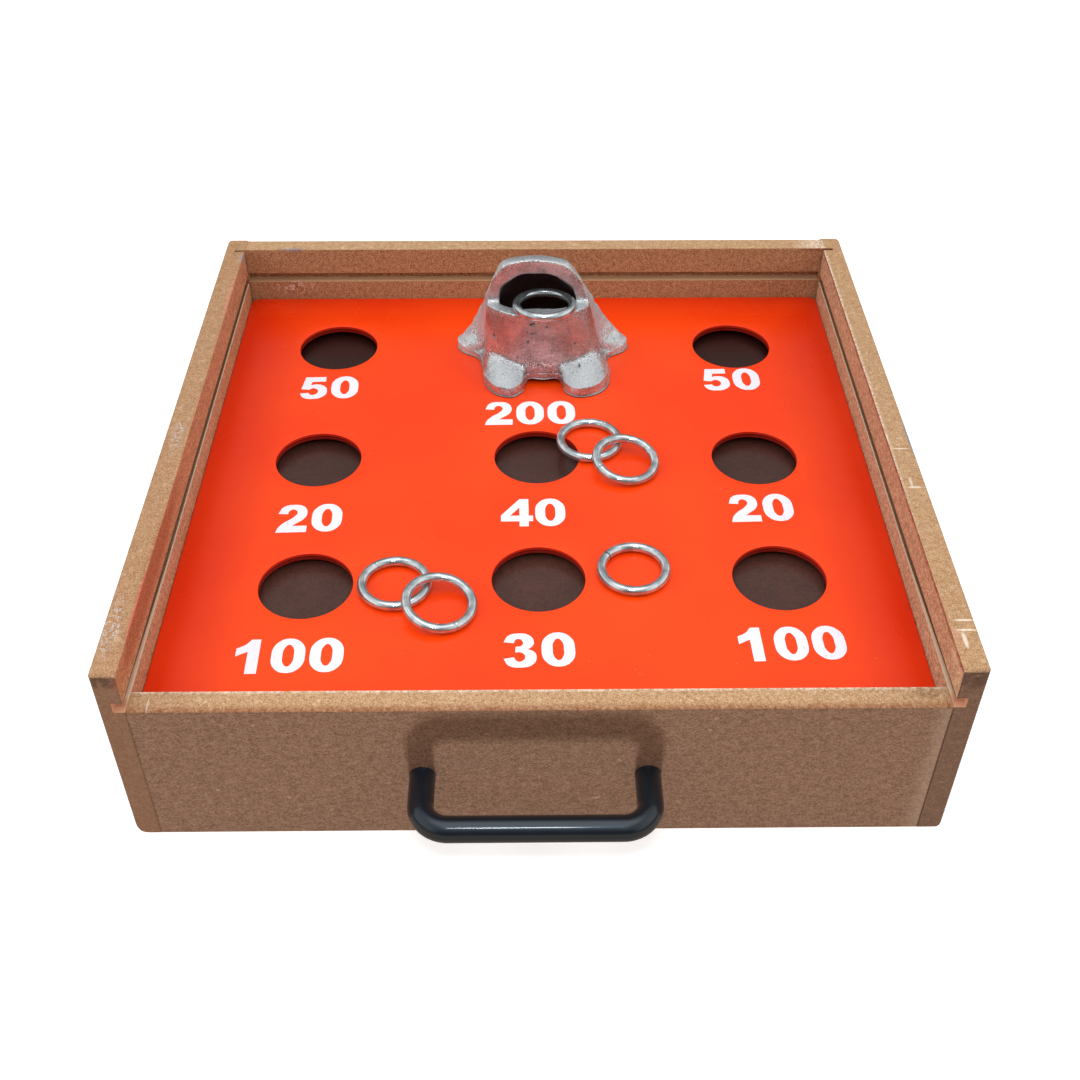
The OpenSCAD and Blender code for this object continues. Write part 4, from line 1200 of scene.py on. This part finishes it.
# frog: half outlines from the middle of the front to the middle of the back; mm, heights above the board
frogCast = {
    "place": (5.8, 122),
    # across, along, height of the underside, height of the foot's edge
    "foot": [(0, -24.9, 3.5, 8.5), (11, -24.9, 3.5, 8.5), (16, -36, 0, 8.5), (24, -42, 0, 8), (35, -38, 0, 8),
             (42, -27, 0, 8), (44.5, -13, 1, 7), (46, 1, 1, 6), (50, 9, 0, 5), (60, 16, 0, 6), (64, 25, 0, 7),
             (59, 33, 0, 7), (48, 35, 0, 6), (36, 34, 1, 6), (20, 38, 1, 6), (0, 40, 1, 6)],
    # across, along, height where the wall leaves the foot
    "wall": [(0, -23.7, 15), (10, -23.3, 15), (16, -22.5, 15), (24, -19.5, 16), (31, -16, 18), (37, -12, 18),
             (41, -6, 15), (42.5, 1, 12), (41.5, 7, 11), (45.5, 12.5, 13), (50, 20, 18), (49.5, 27, 24),
             (43, 29, 21), (33, 30, 16), (19, 34, 14), (0, 36, 13)],
    # across, along, share of the rise from the lower lip to the top of the hood
    "lip": [(0, -20, 0), (8, -19.5, 0), (14, -18, 0), (20, -16, 0), (26, -13, 0), (31, -9.5, 0),
            (34.5, -6, 0), (36.5, -2.5, 0.01), (36, 0, 0.1), (34.6, 1, 0.25), (32.5, 1.5, 0.45),
            (28.5, 1.5, 0.65), (23.5, 1.5, 0.82), (16.5, 1.5, 0.93), (8.5, 1.5, 0.985), (0, 1.5, 1)],
    # rim of the mouth
    "lipHeight": 54, "jawHeight": 32.5, "mouthMid": 1.5, "mouthUp": 0.1,
    "thick": 9, "cornerThin": 0.25, "cornerX": 36.5,
    "hoodThick": 4, "hoodAt": 0.8, "hoodSpread": 0.28, "lipThick": 3,
    # sweep of the outer skin from the foot to the lip, and of the hollow
    "skinIn": (0.04, 0.08), "flankIn": (0.14, 0.12), "skinUp": 10, "backUp": 22, "headSwell": 25,
    "lipFlare": 0.06, "jawTuck": 0.12, "lipOut": 1.5, "lipDrop": 15, "jawUp": 3,
    "browHeight": 5, "browAt": 0.85, "browSpread": 0.11, "browDrop": 10,
    "haunch": 2.5, "haunchAt": 0.3, "haunchSpread": 0.25,
    "caveX": 0.8, "caveY": 0.74, "caveUp": 14, "caveBack": 2,
    # foot: its rounded edge, and the thin edge that the mould left round the base
    "footRound": 1.5, "shelfShare": 0.4, "flange": 0.7, "flangeHigh": 0.7, "flangeSlope": 0.3,
    # right front foot, which stands further out
    "splay": 5, "splayFrom": (20, 40), "splayAlong": (5, -10), "splayHigh": (30, 0),
    "lean": -0.075, "seat": 0.25, "seatHigh": (6, 0),   # leans to the left, and is sunk to the board
    "flangeSteps": 3, "sideSteps": 6, "edgeSteps": 5, "shelfSteps": 22, "upSteps": 60, "rimSteps": 18,
    "downSteps": 28, "underSteps": 10, "spanSteps": 16,
    # passes that round the ribs, and rows beside the fold over the feet that get more of them
    "rounding": 2, "flatBelow": 1.5, "fillet": 16, "filletReach": 9,
    # uneven skin: shortest and longest wave, and height
    "skin": [(12, 28, 0.03), (2.4, 4.5, 0.05)], "skinFrom": (3, 11), "skinWaves": 40, "skinSeed": 7,
    # fold between the front and each haunch, in points of the outline, and the ridge and lumps past it
    "foldAt": 8.0, "foldWide": 0.32, "foldDeep": 1.8, "foldTop": (62, 42),
    # foldDark: painted shade along the fold
    "foldFoot": (4, 10), "foldDark": 0.8,
    "haunchRise": 1.2, "haunchGap": 0.9, "haunchWide": 0.6, "haunchFrom": (0, 0.5), "haunchTo": (4.5, 3),
    "lumps": (7, 13, 0.3),
    # eyes: across, along, height, radius, rise
    "eyes": [(-22, 9, 86, 5.5, 1.2), (22, 9, 86, 5.5, 1.2)],
    # pits of the casting: across, height, radius, depth
    "pits": [(-5.6, 47.3, 1.1, 0.9), (-3.7, 48.0, 1.0, 0.9), (5.6, 45.6, 0.8, 0.8), (-33.5, 33.3, 0.9, 0.8),
             (-8.8, 33.7, 1.0, 0.9), (-5.4, 40.2, 0.8, 0.5), (-3.2, 40.8, 0.6, 0.4), (-8.6, 41.5, 0.5, 0.4),
             (24.8, 29.5, 0.7, 0.6), (-17.5, 20.4, 0.6, 0.5), (27, 14.7, 0.6, 0.5)],
    "pitDark": 1.3, "pitFacing": -0.2,   # only where the skin looks to the front
    # gritty places: rows beside the fold over the feet and beside the rim, and the low arms
    "gritRows": 5, "crownRows": 8, "crownGrit": 0.7,
    "armsOut": (40, 46), "armsHigh": (34, 26), "armsGrit": 0.4,
    # creaseSpan and creaseSharp: reach and strength of the painted shade in hollow places
    "caveRows": 3, "creaseSpan": 3, "creaseSharp": 2.2,
}


# smooth closed curve through a half outline and its mirror image: between two points, the cubic that keeps
# the direction of their neighbours
def smoothLoop(half, steps):
    half = np.array(half, float)
    p = np.concatenate([half, half[-2:0:-1] * ([-1] + [1] * (half.shape[1] - 1))])
    a, b, c, d = (np.roll(p, shift, 0)[:, None] for shift in (1, 0, -1, -2))
    f = (np.arange(steps) / steps)[None, :, None]
    curve = b + f / 2 * (c - a + f * (2 * a - 5 * b + 4 * c - d + f * (3 * (b - c) + d - a)))
    return curve.reshape(-1, p.shape[1])


# cubics from a to d with handles b and c, without their last points
def curved(a, b, c, d, count):
    f = np.linspace(0, 1, count)[None, :-1, None]
    a, b, c, d = (v[:, None] for v in (a, b, c, d))
    return (1 - f) ** 3 * a + 3 * f * (1 - f) ** 2 * b + 3 * f ** 2 * (1 - f) * c + f ** 3 * d


# straight runs from a to b, without their last points
def straight(a, b, count):
    return curved(a, a + (b - a) / 3, b - (b - a) / 3, b, count)


# uneven skin: the sum of many waves in seeded directions, scaled to a spread of 1
def unevenSkin(points, shortest, longest, size):
    dice = np.random.default_rng(size["skinSeed"])
    ahead = unit(dice.normal(size=(size["skinWaves"], 3)))
    length = dice.uniform(shortest, longest, size["skinWaves"])
    phase = dice.uniform(0, 2 * np.pi, size["skinWaves"])
    waves = np.sin(points @ (ahead * 2 * np.pi / length[:, None]).T + phase)
    return waves.mean(-1) * np.sqrt(2 * size["skinWaves"])


# each point moved half way to the mean of its neighbours along the rib
def eased(ribs):
    return (np.roll(ribs, 1, 1) + 2 * ribs + np.roll(ribs, -1, 1)) / 4


# how far a grid of points is hollow: its bend towards the normal over a span of cells
def hollows(points, normals, span, least=0.5):
    bend = np.zeros(points.shape[:2])
    for axis in (0, 1):
        ahead, behind = np.roll(points, -span, axis), np.roll(points, span, axis)
        reach = np.sum((ahead - behind) ** 2, -1) + least
        bend += 4 * np.sum((ahead + behind - 2 * points) * normals, -1) / reach
    return bend


# outward normals of ribs from the differences along both directions, both of them closed; at one row of the
# wall they have to look away from the middle
def ribNormals(ribs, row):
    along = np.roll(ribs, -1, 0) - np.roll(ribs, 1, 0)
    across = np.roll(ribs, -1, 1) - np.roll(ribs, 1, 1)
    normals = unit(np.cross(along, across) + 1e-12)
    middle = ribs[:, row].mean(0)
    return normals * np.sign(np.sum(normals[:, row] * (ribs[:, row] - middle)))


# ribs of the frog, one for each point of the outlines, and the row where each run of a rib starts: up the
# foot's side, in over the shelf, up the outer skin, across the rim, down the hollow and back under
def frogRibs(size):
    foot, wall, lip = (smoothLoop(size[key], size["spanSteps"]) for key in ("foot", "wall", "lip"))
    rise = np.clip(lip[:, 2], 0, 1)
    flank, back, front = 4 * rise * (1 - rise), rise ** 4, 1 - rise
    base = np.maximum(0, foot[:, 2])
    # rim of the mouth, and its inner edge towards the middle
    rim = columns(lip[:, 0], lip[:, 1], size["lipHeight"] + size["jawHeight"] * rise)
    middle = columns(0, size["mouthMid"], size["lipHeight"] + size["jawHeight"] * rise * size["mouthUp"])
    thick = size["thick"] * (1 - size["cornerThin"] * np.abs(lip[:, 0]) / size["cornerX"])
    thick += size["hoodThick"] * hill(rise, size["hoodAt"], size["hoodSpread"])
    thick += size["lipThick"] * front ** 4
    inner = rim + thick[:, None] * unit(middle - rim)
    # foot, with its shelf towards the wall
    across = wall[:, :2] - foot[:, :2]
    inward = lifted(unit(across), 0)
    apart = np.linalg.norm(across, axis=1, keepdims=True)
    edge = columns(foot[:, 0], foot[:, 1], foot[:, 3])
    shelf = edge + np.minimum(size["footRound"], size["shelfShare"] * apart) * inward
    side = edge - [0, 0, size["footRound"]]
    toe = columns(foot[:, 0], foot[:, 1], base) - size["flange"] * inward
    toeTop = toe + [0, 0, size["flangeHigh"]]
    ankle = toeTop + size["flange"] * inward + [0, 0, size["flangeSlope"] * size["flangeHigh"]]
    # handles of the cubics up the outer skin and down the hollow
    haunch = size["haunch"] * hill(rise, size["haunchAt"], size["haunchSpread"]) * np.sign(wall[:, 0])
    inX, inY = (skin + more * flank for skin, more in zip(size["skinIn"], size["flankIn"]))
    start = wall + columns(haunch - wall[:, 0] * inX, -wall[:, 1] * inY,
                           size["skinUp"] + size["backUp"] * back)
    turn = columns(lip[:, 0] * (size["lipFlare"] - size["jawTuck"] * rise), 0,
                   size["jawUp"] * rise - size["lipDrop"] * front)
    bulge = size["browHeight"] * hill(rise, size["browAt"], size["browSpread"])
    brow = bulge[:, None] * unit(rim - columns(0, rim[:, 1], size["lipHeight"] - size["browDrop"]))
    finish = rim + turn + brow + columns(haunch, size["headSwell"] * rise - size["lipOut"] * front, 0)
    roof = inner + turn + columns(0, (size["headSwell"] - size["thick"]) * rise, 0)
    cave = columns(wall[:, 0] * size["caveX"], wall[:, 1] * size["caveY"], base)
    caveUp = cave + columns(-wall[:, 0] * size["flankIn"][1] * flank, size["caveBack"] * rise,
                            size["caveUp"] + size["backUp"] * back)
    runs = {"toe": straight(toe, toeTop, size["flangeSteps"]),
            "flange": straight(toeTop, ankle, size["flangeSteps"]),
            "side": straight(ankle, side, size["sideSteps"]),
            "edge": curved(side, edge, edge, shelf, size["edgeSteps"]),
            "shelf": straight(shelf, wall, size["shelfSteps"]),
            "skin": curved(wall, start, finish, rim, size["upSteps"]),
            "rim": straight(rim, inner, size["rimSteps"]),
            "cave": curved(inner, roof, caveUp, cave, size["downSteps"]),
            "under": straight(cave, toe, size["underSteps"])}
    ends = np.cumsum([run.shape[1] for run in runs.values()])
    return np.concatenate(list(runs.values()), 1), dict(zip(runs, [0, *ends]))


# rounds the creases along each rib, most at the fold over the feet, but leaves the underside flat;
# then splays a foot
def roundRibs(ribs, starts, size):
    folded = np.abs(np.arange(ribs.shape[1]) - starts["skin"]) < size["filletReach"]
    for _ in range(size["fillet"]):
        ribs = np.where(folded[None, :, None], eased(ribs), ribs)
    for _ in range(size["rounding"]):
        ribs = np.where(ribs[..., 2:] > size["flatBelow"], eased(ribs), ribs)
    x, y, z = np.moveaxis(ribs, -1, 0)
    splay = ramp(x, *size["splayFrom"]) * ramp(y, *size["splayAlong"]) * ramp(z, *size["splayHigh"])
    return columns(x + size["splay"] * splay, y, z)


# how far the skin is moved along its normals: waves, eyes, a fold and a ridge with lumps before each haunch,
# and pits; with the masks of pits, of creases for painted shade, and of haunches
def frogSkin(ribs, normals, starts, size):
    x, y, z = np.moveaxis(ribs, -1, 0)
    outside = np.arange(ribs.shape[1]) < starts["rim"]
    free = ramp(z, *size["skinFrom"])
    shift = free * sum(height * unevenSkin(ribs, low, high, size) for low, high, height in size["skin"])
    for *place, radius, height in size["eyes"]:
        shift += outside * height * np.exp(-np.sum((ribs - place) ** 2, -1) / radius ** 2)
    # points of the outline past the fold, on either half
    number = np.arange(len(ribs)) / size["spanSteps"]
    beyond = (np.minimum(number, 2 * len(size["wall"]) - 2 - number) - size["foldAt"])[:, None]
    upTo = outside * ramp(z, *size["foldTop"]) * ramp(z, *size["foldFoot"])
    fold = hill(beyond, 0, size["foldWide"]) * upTo
    ridge = hill(beyond, size["haunchGap"], size["haunchWide"]) * upTo
    haunches = ramp(beyond, *size["haunchFrom"]) * ramp(beyond, *size["haunchTo"]) * outside
    low, high, height = size["lumps"]
    lumps = height * haunches * free * unevenSkin(ribs, low, high, size)
    shift += size["haunchRise"] * ridge - size["foldDeep"] * fold + lumps
    # painted shade: hollow places and the fold get a crease mask that darkens them
    bend = hollows(ribs, normals, size["creaseSpan"]) * size["creaseSharp"]
    crease = np.maximum(np.where(outside, np.clip(bend, 0, 1), 0), size["foldDark"] * fold)
    onFront = (y < 0) & (normals[..., 1] < size["pitFacing"])
    pit = np.zeros(x.shape)
    for pitX, pitZ, radius, depth in size["pits"]:
        near = np.exp(-((x - pitX) ** 2 + (z - pitZ) ** 2) / radius ** 2) * onFront
        shift -= depth * near
        pit = np.maximum(pit, near)
    return shift, {"pit": np.clip(pit * size["pitDark"], 0, 1), "crease": crease, "haunch": haunches}


# masks of the hollow and of the gritty places
def frogGrit(ribs, starts, size):
    row = np.arange(ribs.shape[1])
    cave = ramp(row, starts["cave"], starts["cave"] + size["caveRows"]) * np.ones(ribs.shape[:2])
    ledge = hill(row, starts["skin"], size["gritRows"])
    crown = size["crownGrit"] * hill(row, starts["rim"], size["crownRows"])
    arms = ramp(np.abs(ribs[..., 0]), *size["armsOut"]) * ramp(ribs[..., 2], *size["armsHigh"])
    grit = np.maximum(np.maximum(ledge, crown), size["armsGrit"] * arms)
    return {"cave": cave, "grit": np.where(row < starts["cave"], grit, 0)}


# the ribs, rounded, moved along their normals, leant and seated, as one closed grid
def makeFrog(size):
    ribs, starts = frogRibs(size)
    ribs = roundRibs(ribs, starts, size)
    normals = ribNormals(ribs, starts["skin"])
    shift, masks = frogSkin(ribs, normals, starts, size)
    ribs = ribs + shift[..., None] * normals
    ribs[..., 0] += size["lean"] * ribs[..., 2]
    ribs[..., 2] -= size["seat"] * ramp(ribs[..., 2], *size["seatHigh"])
    masks.update(frogGrit(ribs, starts, size))
    points = mm * (ribs + [*size["place"], 0]) + [0, 0, nodeBox("frog")[0][2]]
    piece = makePiece("castFrog", [sheet(points, wrapRows=True, wrapCols=True)], 70)
    for key, values in masks.items():
        setMask(piece, key, values)
    return dress(piece, "frog", "cast_frog", castMetal, "frog")


makeFrog(frogCast)
print("frog built")


# rings: a round wire bent to a circle, with a weld where its ends meet
wireRings = {
    "wire": 3 * mm, "grow": 0.4 * mm, "around": 240, "section": 32,
    # weld's swelling and groove, with their spans in radians
    "weldBulge": 0.12 * mm, "bulgeSpan": 0.1, "weldGroove": 0.22 * mm, "grooveSpan": 0.03,
    # weld's bearing in degrees, and how dark its seam is
    "weld": {"ring_1": 144, "ring_2": 60, "ring_3": 210, "ring_4": 130, "ring_5": 300, "ring_6": 80},
    "seam": {"ring_1": 0.95, "ring_2": 0.1, "ring_3": 0.2, "ring_4": 0.1, "ring_5": 0.2, "ring_6": 0.1},
    "leansOn": {"ring_3": "ring_2", "ring_5": "ring_4"},
    "uphill": (0, -1),   # of the ring in the mouth, higher at the front
}


# torus in a plane tilted by the node's own height, rising towards the ring that it leans on; its wire swells
# at the weld and has a thin groove there
def makeRing(node, size):
    low, high = nodeBox(node)
    flatLow, flatHigh = nodeBox("ring_1")
    centre, wire = (low + high) / 2, size["wire"]
    bare = (flatHigh - flatLow)[0] / 2 - wire
    radius = bare + size["grow"]
    tilt = np.arcsin(np.clip(((high - low)[2] - 2 * wire) / (2 * bare), 0, 1))
    uphill = np.array(size["uphill"], float)
    if node in size["leansOn"]:
        under = sum(nodeBox(size["leansOn"][node])) / 2
        uphill = unit((under - centre)[:2])
    first = np.array([*(uphill * np.cos(tilt)), np.sin(tilt)])
    second = np.array([-uphill[1], uphill[0], 0])
    third = np.cross(first, second)
    turn = fullTurn(size["around"])[:, None]
    section = fullTurn(size["section"])[None]
    bearing = np.radians(size["weld"][node]) - np.arctan2(uphill[1], uphill[0])
    away = np.angle(np.exp(1j * (turn - bearing)))
    groove = hill(away, 0, size["grooveSpan"])
    thick = wire + size["weldBulge"] * hill(away, 0, size["bulgeSpan"]) - size["weldGroove"] * groove
    reach = radius + thick * np.cos(section)
    turned = columns(reach * np.cos(turn), reach * np.sin(turn), thick * np.sin(section))
    points = centre + turned @ np.array([first, second, third])
    piece = makePiece(node.replace("ring_", "wireRing"), [sheet(points, wrapRows=True, wrapCols=True)], 70)
    setMask(piece, "seam", size["seam"][node] * groove * np.ones_like(section))
    return dress(piece, node, "ring_wire", ringMetal, node)


for ring in wireRings["weld"]:
    makeRing(ring, wireRings)
print("rings built")


# the frame's own pieces that stay: finishes only
keptFinish = {"softwood": softwood, "hardboard": hardboard, "nail_steel": nailMetal, "fibreboard": fibreboard}
for row in frame["record"]["subparts"]:
    kept = nodes[row["node"]]
    if row["material_slot"] in keptFinish and not kept.hide_render:
        kept.data.materials.clear()
        kept.data.materials.append(keptFinish[row["material_slot"]])
print("kept nodes finished")


# studio: pale floor, soft lights, and a light under the floor that throws the handle's shadow upwards
studio = {
    "floorHalf": 6.0,
    "floorTones": (grey(0.88), grey(0.95)), "floorCloud": 3.0, "cloudFrom": (0.2, 0.8), "floorRough": 0.9,
    "floorGlow": 0.32,   # seen by the camera only
    "bounce": (0.55, 0.42, 0.31, 1),   # what the floor throws back on to the case
    # light from the horizon, from above, from both sides and from the zenith, and the camera's backdrop
    "horizon": grey(0.13), "overhead": grey(0.62), "beside": grey(1.05),
    "zenith": grey(1.95), "backdrop": grey(0.9),
    "overheadFrom": (0.3, 0.85), "besideFrom": (0.3, 0.75), "besideUp": (0.08, 0.3),
    "zenithFrom": (0.86, 0.97),
    # name, place, aimed at, width, length, watts, colour
    "lights": [("main", (-0.03, -0.90, 1.25), (0, -0.1, 0.09), 0.22, 0.1, 3.6, (0.95, 0.99, 1.04)),
               ("left", (-1.5, -0.3, 0.9), (0, 0, 0.1), 0.9, 0.9, 8.5, (1, 1, 1)),
               ("right", (1.5, -0.3, 0.9), (0, 0, 0.1), 0.9, 0.9, 7.5, (1, 1, 1)),
               ("front", (0.0, -1.9, 1.1), (0, 0.1, 0.1), 1.2, 0.8, 2, (1, 0.84, 0.70)),
               ("under", (0.0, -2.26, -2.15), (0, -0.23, 0.06), 0.36, 0.36, 108, (0.84, 0.97, 1.05))],
    "mirrored": "main",   # the one light that shows in reflections
}


# flat square that casts no shadow; bright to the camera, warmer to the case
def makeFloor(size):
    corner = np.array([-size["floorHalf"], size["floorHalf"]])
    floor = makePiece("floor", [sheet(columns(corner[:, None], corner, 0.0))])
    material, shader, place, _ = newMaterial("paleFloor")
    seen = Field(addNode(place.tree, "LightPath").outputs["Is Camera Ray"])
    cloud = noise(place, size["floorCloud"], 2.0, 0.5)
    shade = blendColour(ease(cloud, *size["cloudFrom"]), *size["floorTones"])
    fill(shader, {"Base Color": blendColour(seen, size["bounce"], shade),
                  "Roughness": size["floorRough"], "Specular IOR Level": 0.0,
                  "Emission Color": blendColour(seen, grey(0.0), grey(1.0)),
                  "Emission Strength": size["floorGlow"]})
    floor.data.materials.append(material)
    floor.visible_shadow = False


# rectangle of light that looks from its place at its target
def makeLight(name, place, target, width, length, watts, colour):
    data = bpy.data.lights.new(name, "AREA")
    data.shape = "RECTANGLE"
    data.size = width
    data.size_y = length
    data.energy = watts
    data.color = colour
    light = bpy.data.objects.new(name, data)
    away = unit(np.array(place) - target)
    side = unit(np.cross([0.0, 1.0, 0.0], away))
    light.matrix_world = axesMatrix(side, np.cross(away, side), away, place)
    light.visible_glossy = name == studio["mirrored"]
    bpy.context.scene.collection.objects.link(light)


# sky: grey at the horizon, whiter overhead and to both sides, brightest round the zenith
def makeSky(size):
    world = bpy.data.worlds.new("studio")
    world.use_nodes = True
    tree = world.node_tree
    across, _, height = parts(Field(addNode(tree, "TexCoord").outputs["Generated"]))
    light = blendColour(ease(height, *size["overheadFrom"]), size["horizon"], size["overhead"])
    sides = ease(abs(across), *size["besideFrom"]) * ease(height, *size["besideUp"])
    light = blendColour(sides, light, size["beside"])
    light = blendColour(ease(height, *size["zenithFrom"]), light, size["zenith"])
    seen = Field(addNode(tree, "LightPath").outputs["Is Camera Ray"])
    fill(tree.nodes["Background"], {"Color": blendColour(seen, light, size["backdrop"])})
    bpy.context.scene.world = world


makeFloor(studio)
makeSky(studio)
for light in studio["lights"]:
    makeLight(*light)
bpy.context.scene.view_settings.view_transform = "Standard"
print("studio lit")
